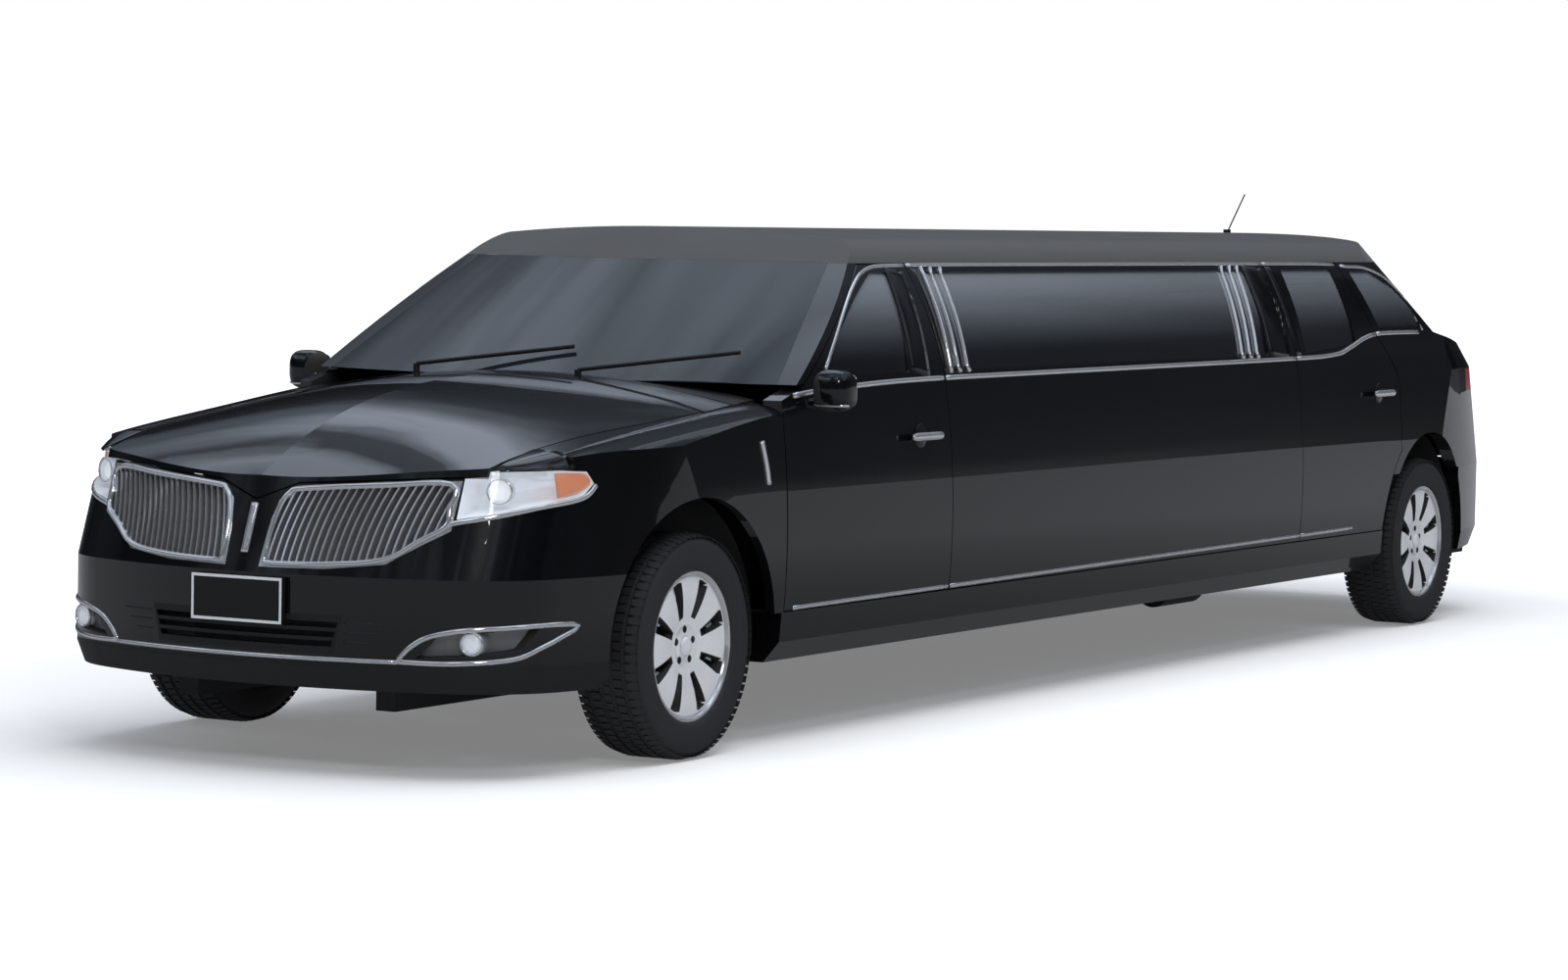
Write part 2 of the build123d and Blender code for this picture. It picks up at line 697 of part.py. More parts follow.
def fog_cut(grow):
    """The left fog lamp's recess, seen from the side."""
    face = outline(*[(fore(x), z) for x, z in FOG_OUTLINE])
    cut = side_cut(grown(face, grow))
    return cut & block((fore(0), FOG_INNER_Y - grow, FLOOR_Z), (fore(NOSE_X), PLAN_HALF, NOSE_UPPER_Z))


def gate_cut(grow):
    """The liftgate's zone, seen from behind."""
    face = outline(*GATE_OUTLINE, *[(-y, z) for y, z in reversed(GATE_OUTLINE)])
    face = grown(face, grow)
    return across_cut(face, aft(-TAIL_X - PLAN_MARGIN), aft(GATE_FRONT_X))


def gate_window_cut(grow):
    """The rear window's zone, seen from behind."""
    face = outline(*GATE_WINDOW, *[(-y, z) for y, z in reversed(GATE_WINDOW)])
    face = fillet(face.vertices(), WINDOW_CORNER).face()
    face = grown(face, grow)
    return across_cut(face, aft(-TAIL_X - PLAN_MARGIN), aft(GATE_FRONT_X))


def tail_lamp_cut(inner_y, outer_y, grow):
    """A band of the tail, between two half widths."""
    return block(
        (aft(-TAIL_X - PLAN_MARGIN), inner_y - grow, TAIL_LAMP_LOW_Z - grow),
        (aft(TAIL_LAMP_FRONT_X) + grow, outer_y + grow, TAIL_LAMP_HIGH_Z + grow))


def sided_drum(*levels):
    """A many-sided drum along Y through places with a radius each."""
    return loft([Plane.XZ.offset(-y) * RegularPolygon(radius, TYRE_SIDES) for y, radius in levels],
                ruled=True)


def tyre():
    """One tyre about its own axle, along Y: many-sided, so that its facets stay few."""
    half = TYRE_WIDTH / 2
    bead_r = (RIM_RADIUS - RIM_SEAT) / math.cos(math.pi / TYRE_SIDES)
    wall_r = (RIM_RADIUS + TYRE_RADIUS) / 2
    body = sided_drum((-half, wall_r), (-half + TYRE_SHOULDER, TYRE_RADIUS),
                      (half - TYRE_SHOULDER, TYRE_RADIUS), (half, wall_r))
    dish = sided_drum((TYRE_BEAD_Y, bead_r), (half, wall_r - TYRE_WALL_LAND))
    return body - dish - mirrored(dish) - sided_drum((-half, bead_r), (half, bead_r))


def wheel():
    """One chromed wheel with its brake disc, outer face towards +Y."""
    half = RIM_WIDTH / 2
    bore = RIM_RADIUS - RIM_SEAT - SEAT_GAP
    barrel = outline(
        (-half, bore - RIM_WALL), (-half, RIM_LIP_RADIUS), (-half + RIM_LIP, RIM_LIP_RADIUS),
        (-half + RIM_LIP, bore), (half - RIM_LIP, bore), (half - RIM_LIP, RIM_LIP_RADIUS),
        (half, RIM_LIP_RADIUS), (half, bore - RIM_WALL))
    dish = outline(
        (half - SPOKE_THICK - SPOKE_DISH, 0), (half - SPOKE_DISH, 0),
        (half - SPOKE_DISH, HUB_RADIUS), (half - RIM_LIP / 2, bore - RIM_WALL + SEAT_GAP),
        (half - RIM_LIP / 2 - SPOKE_THICK, bore - RIM_WALL + SEAT_GAP),
        (half - SPOKE_THICK - SPOKE_DISH, HUB_RADIUS))
    body = revolve(Plane.YZ * barrel, axis=Axis.Y) + revolve(Plane.YZ * dish, axis=Axis.Y)
    inner, outer = HUB_RADIUS + POCKET_HUB_LAND, bore - RIM_WALL - POCKET_RIM_LAND
    pocket = outline((inner, -POCKET_INNER_HALF), (outer, -POCKET_OUTER_HALF),
                     (outer, POCKET_OUTER_HALF), (inner, POCKET_INNER_HALF))
    pocket = extrude(Plane((0, half, 0), x_dir=(1, 0, 0), z_dir=(0, -1, 0)) * pocket,
                     amount=2 * SPOKE_THICK + SPOKE_DISH)
    for index in range(SPOKES):
        body -= Rot(0, (index + 0.5) * 360 / SPOKES, 0) * pocket
    disc_y = half - SPOKE_THICK - SPOKE_DISH
    hat = Pos(0, disc_y - HAT_DEPTH / 2, 0) * Rot(90, 0, 0) * Cylinder(HUB_RADIUS, HAT_DEPTH)
    disc = Pos(0, disc_y - HAT_DEPTH - DISC_THICK / 2, 0) * Rot(90, 0, 0) * Cylinder(DISC_RADIUS,
                                                                                     DISC_THICK)
    return body + hat + disc


# Shared bodies
front_outer = front_loft(0) & nose_stack(0)
front_inner = front_loft(FRONT_WALL) & nose_stack(FRONT_WALL)
front_deep = front_loft(LAMP_DEPTH) & nose_stack(LAMP_DEPTH)
front_shell = front_outer - front_inner
cabin_outer = section_run(0, 0, aft(-TAIL_X - PLAN_MARGIN),
                          fore(CABIN_FRONT_X)) & screen_prism(0) & tail_room(0)
cabin_inner = (
    section_run(WALL, ROOF_WALL, aft(-TAIL_X - PLAN_MARGIN), fore(CABIN_FRONT_X))
    & screen_prism(PILLAR_WALL) & tail_room(WALL))
cabin_shell = cabin_outer - cabin_inner


def glass_skin(inset):
    """Everything within the side glass's surface, set in by inset."""
    return section_run(inset, inset, aft(-TAIL_X), fore(CABIN_FRONT_X)) & tail_house(inset)


glass_run = glass_skin(GLASS_SET_IN) - glass_skin(GLASS_SET_IN + GLASS_THICK)

# Outlines on the skin
front_door_points = [
    (fore(DOOR_FRONT_X), DOOR_FOOT_Z), (fore(DOOR_FRONT_X), DOOR_SHOULDER_Z),
    (fore(DOOR_SAIL_X), DOOR_SAIL_Z), (fore(DOOR_HEAD_X), RAIL_Z - SHUT_GAP),
    (fore(DOOR_REAR_X), RAIL_Z - SHUT_GAP), (fore(DOOR_REAR_X), BELT_Z),
    (fore(DOOR_REAR_X), DOOR_FOOT_Z)]
land = ARCH_RADIUS + ARCH_LAND


def land_point(z):
    """The point at height z on the rear door's edge round the arch."""
    return (aft(math.sqrt(land ** 2 - (z - ARCH_Z) ** 2)), z)


land_top_z = ARCH_Z + math.sqrt(land ** 2 - REAR_DOOR_REAR_X ** 2)
rear_door_points = [
    (aft(REAR_DOOR_FRONT_X), DOOR_FOOT_Z), (aft(REAR_DOOR_FRONT_X), BELT_Z),
    (aft(REAR_DOOR_FRONT_X), RAIL_Z - SHUT_GAP),
    (aft(REAR_DOOR_HEAD_X), RAIL_Z - SHUT_GAP), (aft(REAR_DOOR_BELT_X), REAR_DOOR_BELT_Z),
    (aft(REAR_DOOR_REAR_X), REAR_DOOR_REAR_Z), (aft(REAR_DOOR_REAR_X), land_top_z),
    (land_point((land_top_z + DOOR_FOOT_Z) / 2), land_point(DOOR_FOOT_Z))]
front_window_points = [
    (fore(FRONT_WINDOW_FOOT[0]), WINDOW_FOOT_Z),
    ((fore(FRONT_WINDOW_ARCH[0]), FRONT_WINDOW_ARCH[1]), (fore(FRONT_WINDOW_HEAD[0]), WINDOW_HEAD_Z)),
    (fore(FRONT_WINDOW_HEAD[1]), WINDOW_HEAD_Z), (fore(FRONT_WINDOW_FOOT[1]), WINDOW_FOOT_Z)]
stretch_window_points = [
    (fore(STRETCH_WINDOW_FRONT[0]), WINDOW_FOOT_Z), (fore(STRETCH_WINDOW_FRONT[1]), WINDOW_HEAD_Z),
    (aft(STRETCH_WINDOW_REAR[1]), WINDOW_HEAD_Z), (aft(STRETCH_WINDOW_REAR[0]), WINDOW_FOOT_Z)]
rear_window_points = [
    (aft(REAR_WINDOW_FRONT[0]), WINDOW_FOOT_Z), (aft(REAR_WINDOW_FRONT[1]), WINDOW_HEAD_Z),
    (aft(REAR_WINDOW_REAR[1]), WINDOW_HEAD_Z), (aft(REAR_WINDOW_REAR[0]), REAR_WINDOW_KICK_Z)]
quarter_window_points = [(aft(x), z) for x, z in QUARTER_WINDOW]
front_opening = door_cut(front_door_points, SHUT_GAP)
rear_opening = door_cut(rear_door_points, SHUT_GAP)

# Front doors
node = {}


def both_sides(name, shape, shared=False):
    """Keep a left piece and its mirror, as two nodes or as two solids of one node."""
    if shared:
        node[name] = [shape, mirrored(shape)]
    else:
        node[name + "_left"] = [shape]
        node[name + "_right"] = [mirrored(shape)]


side_shell = (section_run(0, 0, aft(-TAIL_X), fore(CABIN_FRONT_X))
              - section_run(WALL, ROOF_WALL, aft(-TAIL_X), fore(CABIN_FRONT_X)))
front_door = (side_shell & door_cut(front_door_points, 0)) - window_cut(front_window_points, 0)
rear_door = (side_shell & door_cut(rear_door_points, 0)) - window_cut(rear_window_points, 0)
both_sides("front_door", front_door)
both_sides("rear_door", rear_door)
both_sides("front_door_glass", glass_run & window_cut(front_window_points, -SEAT_GAP))
both_sides("rear_door_glass", glass_run & window_cut(rear_window_points, -SEAT_GAP))

# Fixed flanks
stretch_zone = side_cut(outline(
    (aft(REAR_DOOR_FRONT_X - WALL * 2), DOOR_FOOT_Z), (fore(DOOR_REAR_X + WALL * 2), DOOR_FOOT_Z),
    (fore(DOOR_REAR_X + WALL * 2), RAIL_Z), (aft(REAR_DOOR_FRONT_X - WALL * 2), RAIL_Z)))
stretch = (side_shell & stretch_zone) - front_opening - rear_opening
stretch = stretch.solids().sort_by(SortBy.VOLUME)[-1]
stretch = stretch + hinge_leaves(rear_door_points, aft(REAR_DOOR_FRONT_X))
both_sides("stretch_panel", stretch - window_cut(stretch_window_points, 0))
both_sides("stretch_glass", glass_run & window_cut(stretch_window_points, -SEAT_GAP), shared=True)

quarter_zone = block((aft(-TAIL_X - PLAN_MARGIN), QUARTER_INNER_Y, QUARTER_LOW_Z),
                     (aft(REAR_DOOR_BELT_X + WALL * 3), CUT_OUTER_Y, RAIL_Z))
quarter = (cabin_shell & quarter_zone) - rear_opening - gate_cut(SHUT_GAP) - drum(aft(0), ARCH_RADIUS, 0,
                                                                                  CUT_OUTER_Y)
quarter = quarter - tail_lamp_cut(TAIL_LAMP_INNER_Y, CUT_OUTER_Y, SEAT_GAP)
quarter = quarter.solids().sort_by(SortBy.VOLUME)[-1] - window_cut(quarter_window_points, 0)
both_sides("quarter_panel", quarter)
both_sides("quarter_glass", glass_run & window_cut(quarter_window_points, -SEAT_GAP), shared=True)
tail_lamp_room = tail_stack(WALL) & section_run(WALL, WALL, aft(-TAIL_X), aft(0))
tail_lamp = (cabin_outer & tail_lamp_cut(TAIL_LAMP_INNER_Y, CUT_OUTER_Y, 0)) - tail_lamp_room
both_sides("tail_lamps", tail_lamp.solids().sort_by(SortBy.VOLUME)[-1], shared=True)

# Roof, screen and its pillars
roof = (cabin_shell & block((aft(-TAIL_X), -PLAN_HALF, RAIL_Z),
                            (fore(CABIN_FRONT_X), PLAN_HALF, 2 * ROOF_Z))) - gate_cut(SHUT_GAP)
node["roof"] = [roof.solids().sort_by(SortBy.VOLUME)[-1]]
screen_face = outline(
    (-SCREEN_FOOT_HALF, SCREEN_LOW_Z), (SCREEN_FOOT_HALF, SCREEN_LOW_Z),
    (SCREEN_HEAD_HALF, RAIL_Z - SEAT_GAP), (-SCREEN_HEAD_HALF, RAIL_Z - SEAT_GAP))
screen_cut = across_cut(screen_face, fore(CABIN_FRONT_X - ROOF_Z), fore(CABIN_FRONT_X))
screen = (cabin_outer - screen_prism(SCREEN_THICK)) & screen_cut
node["windscreen"] = [screen]
pillar_zone = block((fore(DOOR_HEAD_X - WALL), 0, SCREEN_LOW_Z),
                    (fore(CABIN_FRONT_X), CUT_OUTER_Y, RAIL_Z - SEAT_GAP))
pillar = (cabin_shell & pillar_zone) - front_opening - across_cut(
    grown(screen_face, SEAT_GAP), fore(CABIN_FRONT_X - ROOF_Z), fore(CABIN_FRONT_X))
both_sides("a_pillars", pillar.solids().sort_by(SortBy.VOLUME)[-1], shared=True)

# Sills and floor
sill = section_run(0, 0, aft(SILL_ENDS), fore(-SILL_ENDS)) & block(
    (aft(SILL_ENDS), SILL_INNER_Y, 0), (fore(-SILL_ENDS), CUT_OUTER_Y, DOOR_FOOT_Z - SHUT_GAP))
both_sides("sills", sill, shared=True)
floor = block((aft(-TAIL_X + FLOOR_TAIL_SET_IN), -SILL_INNER_Y + SEAT_GAP, FLOOR_Z),
              (fore(-SILL_ENDS), SILL_INNER_Y - SEAT_GAP, FLOOR_Z + FLOOR_THICK))
wheel_box = drum(aft(0), ARCH_RADIUS + LINER_THICK + SEAT_GAP, ARCH_INNER_REAR_Y - SEAT_GAP, CUT_OUTER_Y)
hump = AXLE_SLOT + AXLE_HUMP_WALL
floor = floor - wheel_box - mirrored(wheel_box) + block(
    (aft(-hump), -ARCH_INNER_REAR_Y + SEAT_GAP, FLOOR_Z), (aft(hump), ARCH_INNER_REAR_Y - SEAT_GAP,
                                                           AXLE_HUMP_Z + AXLE_HUMP_WALL))
floor = floor - block((aft(-AXLE_SLOT), -ARCH_INNER_REAR_Y, 0),
                      (aft(AXLE_SLOT), ARCH_INNER_REAR_Y, AXLE_HUMP_Z))
node["floor_pan"] = [floor]
liner_pieces = []
for x, inner_y in ((fore(0), ARCH_INNER_FRONT_Y), (aft(0), ARCH_INNER_REAR_Y)):
    liner = (drum(x, ARCH_RADIUS + LINER_THICK, inner_y, LINER_OUTER_Y)
             - drum(x, ARCH_RADIUS, inner_y + LINER_THICK, CUT_OUTER_Y)
             - block((x - LENGTH, 0, -ARCH_RADIUS), (x + LENGTH, CUT_OUTER_Y, ARCH_Z - LINER_SKIRT)))
    liner = liner - drum(x, AXLE_RADIUS + SHUT_GAP, 0, CUT_OUTER_Y)
    liner_pieces += [liner, mirrored(liner)]
node["arch_liners"] = liner_pieces

# Front body
hood = front_shell & hood_zone(0)
node["hood"] = [hood.solids().sort_by(SortBy.VOLUME)[-1]]
front_fixed = front_shell - hood_zone(SHUT_GAP)
bumper_face = outline(
    (fore(BUMPER_CUT_FOOT_X), 0), (fore(BUMPER_CUT_FOOT_X), BUMPER_CUT_FOOT_Z),
    (fore(BUMPER_CUT_HEAD_X), BUMPER_CUT_HEAD_Z), (fore(BUMPER_CUT_HEAD_X), NOSE_CREST_Z),
    (fore(NOSE_X + PLAN_MARGIN), NOSE_CREST_Z), (fore(NOSE_X + PLAN_MARGIN), 0))
bumper_cut = extrude(Plane((0, CUT_OUTER_Y, 0), x_dir=(1, 0, 0), z_dir=(0, -1, 0)) * bumper_face,
                     amount=2 * CUT_OUTER_Y)
front_drum = drum(fore(0), ARCH_RADIUS, 0, CUT_OUTER_Y)
fascia = (front_fixed & bumper_cut) - front_drum - mirrored(front_drum)
for cutter in (lamp_cut(SEAT_GAP), wing_cut(SEAT_GAP), fog_cut(SEAT_GAP)):
    fascia = fascia - cutter - mirrored(cutter)
fascia = fascia - intake_cut(SEAT_GAP)
chin_zone = block((fore(0), -CUT_OUTER_Y, 0), (fore(NOSE_X + PLAN_MARGIN), CUT_OUTER_Y, CHIN_TOP_Z))
node["front_bumper"] = [(fascia - chin_zone).solids().sort_by(SortBy.VOLUME)[-1]]
node["chin_spoiler"] = [(fascia & chin_zone).solids().sort_by(SortBy.VOLUME)[-1]]
fender = (front_fixed - bumper_cut - front_drum - lamp_cut(SEAT_GAP) - front_opening) & block(
    (fore(DOOR_FRONT_X) + half_gap, 0, DOOR_FOOT_Z - SHUT_GAP + SEAT_GAP), (fore(NOSE_X), CUT_OUTER_Y,
                                                                            NOSE_CREST_Z))
cowl_zone = block((fore(DOOR_FRONT_X - COWL_TUCK), -HOOD_EDGE_Y - SEAT_GAP, HOOD_LOW_Z),
                  (fore(HOOD_REAR_X), HOOD_EDGE_Y + SEAT_GAP, NOSE_CREST_Z))
fender = fender - cowl_zone
fender = fender.solids().sort_by(SortBy.VOLUME)[-1] + hinge_leaves(front_door_points, fore(DOOR_FRONT_X))
both_sides("fender", fender)
lamp = (front_outer & lamp_cut(0)) - front_deep - hood_zone(SHUT_GAP)
both_sides("headlamps", lamp.solids().sort_by(SortBy.VOLUME)[-1], shared=True)

# Grille wings: a frame that follows the nose, with slats that sweep outward as they rise
wing_shell = front_shell & wing_cut(0)
frame_inner = wing_cut(-WING_FRAME)
slats = []
slat_low_z, slat_high_z = NOSE_UPPER_Z, HOOD_LINE[-1][1]
slat_mid_z = (slat_low_z + slat_high_z) / 2
for index in range(WING_SLATS):
    y = WING_SLATS_FROM_Y + (WING_SLATS_TO_Y - WING_SLATS_FROM_Y) * index / (WING_SLATS - 1)
    near, far = y - SLAT_THICK / 2, y + SLAT_THICK / 2
    slat = outline(
        (near, slat_low_z), (far, slat_low_z),
        ((far + WING_SLAT_SWEEP / 4, slat_mid_z), (far + WING_SLAT_SWEEP, slat_high_z)),
        (near + WING_SLAT_SWEEP, slat_high_z),
        ((near + WING_SLAT_SWEEP / 4, slat_mid_z), (near, slat_low_z)))
    slats.append(across_cut(slat, fore(WING_BACK_X), fore(NOSE_X)))
wing = (wing_shell - frame_inner) + (wing_shell & Part() + slats)
both_sides("grille_wings", wing, shared=True)

# Tail: gate with its glass and lamp bar, and the bumper below
gate_shell = cabin_shell & gate_cut(0)
gate_shell = gate_shell.solids().sort_by(SortBy.VOLUME)[-1]
gate = gate_shell - gate_window_cut(0) - tail_lamp_cut(-GATE_LAMP_HALF, GATE_LAMP_HALF, SEAT_GAP)
node["liftgate"] = [gate]
gate_glass = ((section_run(0, 0, aft(-TAIL_X - PLAN_MARGIN), aft(0)) & gate_window_cut(-SEAT_GAP))
              & tail_room(GLASS_SET_IN)) - tail_room(GLASS_SET_IN + GLASS_THICK)
node["liftgate_glass"] = [gate_glass]
node["gate_lamp_bar"] = [gate_shell & tail_lamp_cut(-GATE_LAMP_HALF, GATE_LAMP_HALF, 0)]
rear_drum = drum(aft(0), ARCH_RADIUS, 0, CUT_OUTER_Y)
rear_bumper = (cabin_shell & block(
    (aft(-TAIL_X - PLAN_MARGIN), -CUT_OUTER_Y, FLOOR_Z + FLOOR_THICK + SEAT_GAP),
    (aft(REAR_BUMPER_FRONT_X), CUT_OUTER_Y, QUARTER_LOW_Z - SEAT_GAP))) - rear_drum - mirrored(rear_drum)
liner_room = drum(aft(0), ARCH_RADIUS + LINER_THICK + SEAT_GAP, 0, LINER_OUTER_Y + SEAT_GAP)
rear_bumper = rear_bumper - node["floor_pan"][0] - liner_room - mirrored(liner_room)
node["rear_bumper"] = [rear_bumper.solids().sort_by(SortBy.VOLUME)[-1]]

# Nose details: intake slats, blank plate and fog lamps
intake_shell = front_shell & intake_cut(0)
intake_open = intake_cut(-INTAKE_FRAME)
bars = []
for index in range(INTAKE_SLATS):
    share = (index + 0.5) / INTAKE_SLATS
    z = INTAKE_LOW_Z + share * (INTAKE_HIGH_Z - INTAKE_LOW_Z)
    bars.append(block((fore(WING_BACK_X), -PLAN_HALF, z - INTAKE_SLAT_THICK / 2),
                      (fore(NOSE_X), PLAN_HALF, z + INTAKE_SLAT_THICK / 2)))
node["intake_slats"] = [(intake_shell - intake_open) + (intake_shell & Part() + bars)]
plate = block((fore(NOSE_X + SEAT_GAP), -PLATE_HALF, PLATE_LOW_Z),
              (fore(FRONT_OVERHANG), PLATE_HALF, PLATE_HIGH_Z))
node["front_plate"] = [fillet(plate.edges().filter_by(Axis.X), PLATE_CORNER)]
fog_back = (front_inner & fog_cut(0)) - front_deep
fog_lamp = rod((fore(FOG_LAMP_BACK_X), FOG_LAMP_Y, FOG_LAMP_Z),
               (fore(FOG_LAMP_X), FOG_LAMP_Y, FOG_LAMP_Z), FOG_LAMP_RADIUS)
both_sides("fog_lamps", fog_back + (fog_lamp & front_outer & fog_cut(0)), shared=True)

# Cowl, firewall and wipers
cowl_top = (front_shell & block(
    (fore(DOOR_FRONT_X - COWL_TUCK), -HOOD_EDGE_Y, HOOD_LOW_Z), (fore(HOOD_REAR_X) - SHUT_GAP,
                                                                 HOOD_EDGE_Y, NOSE_CREST_Z)))
screen_room = screen_prism(-SEAT_GAP) & block(
    (aft(0), -PLAN_HALF, SCREEN_LOW_Z - SEAT_GAP), (fore(0), PLAN_HALF, NOSE_CREST_Z))
firewall = block((fore(DOOR_FRONT_X - COWL_TUCK), -HOOD_EDGE_Y, FLOOR_Z + FLOOR_THICK + SEAT_GAP),
                 (fore(DOOR_FRONT_X - COWL_TUCK) + FIREWALL_THICK, HOOD_EDGE_Y, COWL_LOW_Z))
shelf = block((fore(DOOR_FRONT_X - COWL_TUCK), -HOOD_EDGE_Y, COWL_LOW_Z - FIREWALL_THICK),
              (fore(HOOD_REAR_X) - SHUT_GAP, HOOD_EDGE_Y, COWL_LOW_Z))
front_post = block((fore(HOOD_REAR_X) - SHUT_GAP - FIREWALL_THICK, -HOOD_EDGE_Y,
                    COWL_LOW_Z - FIREWALL_THICK),
                   (fore(HOOD_REAR_X) - SHUT_GAP, HOOD_EDGE_Y, CROWN_REAR_Z)) & front_outer
hood_leaf = front_shell & block(
    (fore(HOOD_REAR_X) - SHUT_GAP, HOOD_EDGE_Y - 2 * HOOD_HINGE_WIDTH, EDGE_REAR_Z - FRONT_WALL),
    (fore(HOOD_REAR_X) - SEAT_GAP, HOOD_EDGE_Y - HOOD_HINGE_WIDTH,
     EDGE_REAR_Z - FRONT_WALL + HOOD_HINGE_HEIGHT))
cowl = (cowl_top + front_post - screen_room) + shelf + firewall
node["cowl"] = [cowl + hood_leaf + mirrored(hood_leaf)]

# Engine, running gear and exhaust
engine = block((fore(ENGINE_REAR_X), -ENGINE_HALF, ENGINE_LOW_Z),
               (fore(ENGINE_FRONT_X), ENGINE_HALF, ENGINE_HIGH_Z))
node["engine_block"] = [engine]
cross = block((fore(-SUBFRAME_HALF_X), -SUBFRAME_HALF_Y, SUBFRAME_LOW_Z),
              (fore(SUBFRAME_HALF_X), SUBFRAME_HALF_Y, ENGINE_LOW_Z - SEAT_GAP))
arm_face = outline((-ARM_ROOT_HALF, SUBFRAME_HALF_Y), (ARM_ROOT_HALF, SUBFRAME_HALF_Y),
                   (ARM_TIP_HALF, KINGPIN_Y), ((0, KINGPIN_Y + ARM_TIP_HALF), (-ARM_TIP_HALF, KINGPIN_Y)))
arm = plan_cut(Pos(fore(0), 0) * arm_face, ARM_LOW_Z, ARM_HIGH_Z)
rail_front = block((fore(-SILL_ENDS - SUBFRAME_LAP), SUBFRAME_HALF_Y - RAIL_WIDTH, SUBFRAME_LOW_Z),
                   (fore(NOSE_RAIL_X), SUBFRAME_HALF_Y, FLOOR_Z - SEAT_GAP))
cradle = cross + arm + mirrored(arm) + rail_front + mirrored(rail_front)
strut = rod((fore(0), KINGPIN_Y + STRUT_RADIUS / 2, KNUCKLE_HIGH_Z - STRUT_FOOT),
            (fore(0), STRUT_TOP_Y, STRUT_TOP_Z), STRUT_RADIUS)
strut = strut & block((fore(-STRUT_FOOT), 0, KNUCKLE_HIGH_Z + SEAT_GAP),
                      (fore(STRUT_FOOT), PLAN_HALF, STRUT_TOP_Z))
node["front_subframe"] = [cradle]
strut = strut & drum(fore(0), ARCH_RADIUS - SEAT_GAP, 0, CUT_OUTER_Y)
node["front_subframe"] += [strut, mirrored(strut)]
radiator = block((fore(RADIATOR_X), -RADIATOR_HALF, FLOOR_Z + SEAT_GAP),
                 (fore(RADIATOR_X + RADIATOR_THICK), RADIATOR_HALF, RADIATOR_HIGH_Z))
node["engine_block"] += [radiator]
upright = rod((fore(0), KINGPIN_Y, ARM_HIGH_Z + SEAT_GAP), (fore(0), KINGPIN_Y, KNUCKLE_HIGH_Z),
              KNUCKLE_RADIUS)
wheel_inner_y = TRACK_HALF + RIM_WIDTH / 2 - SPOKE_THICK - SPOKE_DISH - HAT_DEPTH - DISC_THICK
stub = rod((fore(0), KINGPIN_Y, TYRE_RADIUS), (fore(0), wheel_inner_y - SEAT_GAP, TYRE_RADIUS),
           HUB_RADIUS * STUB_SHARE)
both_sides("knuckle", upright + stub)
beam = rod((aft(0), -wheel_inner_y + SEAT_GAP, TYRE_RADIUS),
           (aft(0), wheel_inner_y - SEAT_GAP, TYRE_RADIUS), AXLE_RADIUS)
trail = block((aft(-AXLE_RADIUS), TRAIL_Y - TRAIL_RADIUS, TRAIL_LOW_Z),
              (aft(TRAIL_LENGTH), TRAIL_Y + TRAIL_RADIUS, TRAIL_HIGH_Z))
trail += block((aft(-AXLE_RADIUS), TRAIL_Y - TRAIL_RADIUS, TRAIL_LOW_Z),
               (aft(AXLE_RADIUS), TRAIL_Y + TRAIL_RADIUS, TYRE_RADIUS))
trail += block((aft(TRAIL_LENGTH - 2 * TRAIL_RADIUS), TRAIL_Y - TRAIL_RADIUS, TRAIL_LOW_Z),
               (aft(TRAIL_LENGTH), TRAIL_Y + TRAIL_RADIUS, FLOOR_Z - SEAT_GAP))
node["rear_axle"] = [beam + trail + mirrored(trail)]

# Wheels
tyre_solid, wheel_solid = tyre(), wheel()
for name, x in (("front", fore(0)), ("rear", aft(0))):
    for side, sign in (("left", 1), ("right", -1)):
        for part_name, solid in (("tyre", tyre_solid), ("wheel", wheel_solid)):
            placed = Pos(x, TRACK_HALF, TYRE_RADIUS) * solid
            node[f"{part_name}_{name}_{side}"] = [placed if sign > 0 else mirrored(placed)]

# Door furniture
mirror_block = block((fore(MIRROR_X - MIRROR_DEPTH), MIRROR_ROOT_Y, MIRROR_LOW_Z),
                     (fore(MIRROR_X), MIRROR_TIP_Y, MIRROR_HIGH_Z))
mirror_body = fillet(mirror_block.edges().filter_by(Axis.X), MIRROR_ROUND)
mirror_body = chamfer(mirror_body.faces().sort_by(Axis.X)[-1].edges(), MIRROR_ROUND / 2)
mirror_stem = block((fore(MIRROR_X - MIRROR_DEPTH * MIRROR_STEM_SHARES[1]), skin_y(MIRROR_LOW_Z)
                     - WALL / 2, MIRROR_LOW_Z + MIRROR_ROUND / 2),
                    (fore(MIRROR_X - MIRROR_DEPTH * MIRROR_STEM_SHARES[0]), MIRROR_ROOT_Y + MIRROR_ROUND,
                     MIRROR_LOW_Z + MIRROR_ROUND * 1.5))
both_sides("mirror", (mirror_body + mirror_stem) - cabin_outer)
for x, z, name in ((fore(FRONT_HANDLE_X), FRONT_HANDLE_Z, "front_door"),
                   (aft(REAR_HANDLE_X), REAR_HANDLE_Z, "rear_door")):
    y = skin_y(z)
    bar = block((x - HANDLE_LENGTH / 2, y + HANDLE_STAND - HANDLE_BAR, z - HANDLE_HEIGHT / 2),
                (x + HANDLE_LENGTH / 2, y + HANDLE_STAND, z + HANDLE_HEIGHT / 2))
    bar = fillet(bar.edges(), HANDLE_BAR * HANDLE_ROUND_SHARE)
    for end in (-1, 1):
        foot_x = x + end * (HANDLE_LENGTH / 2 - HANDLE_HEIGHT)
        bar += block((foot_x - HANDLE_BAR, y - HANDLE_BAR, z - HANDLE_HEIGHT / 4),
                     (foot_x + HANDLE_BAR, y + HANDLE_STAND - HANDLE_BAR / 2, z + HANDLE_HEIGHT / 4))
    for side, sign in (("left", 1), ("right", -1)):
        node[f"{name}_{side}"] = [node[f"{name}_{side}"][0] + (bar if sign > 0 else mirrored(bar))]

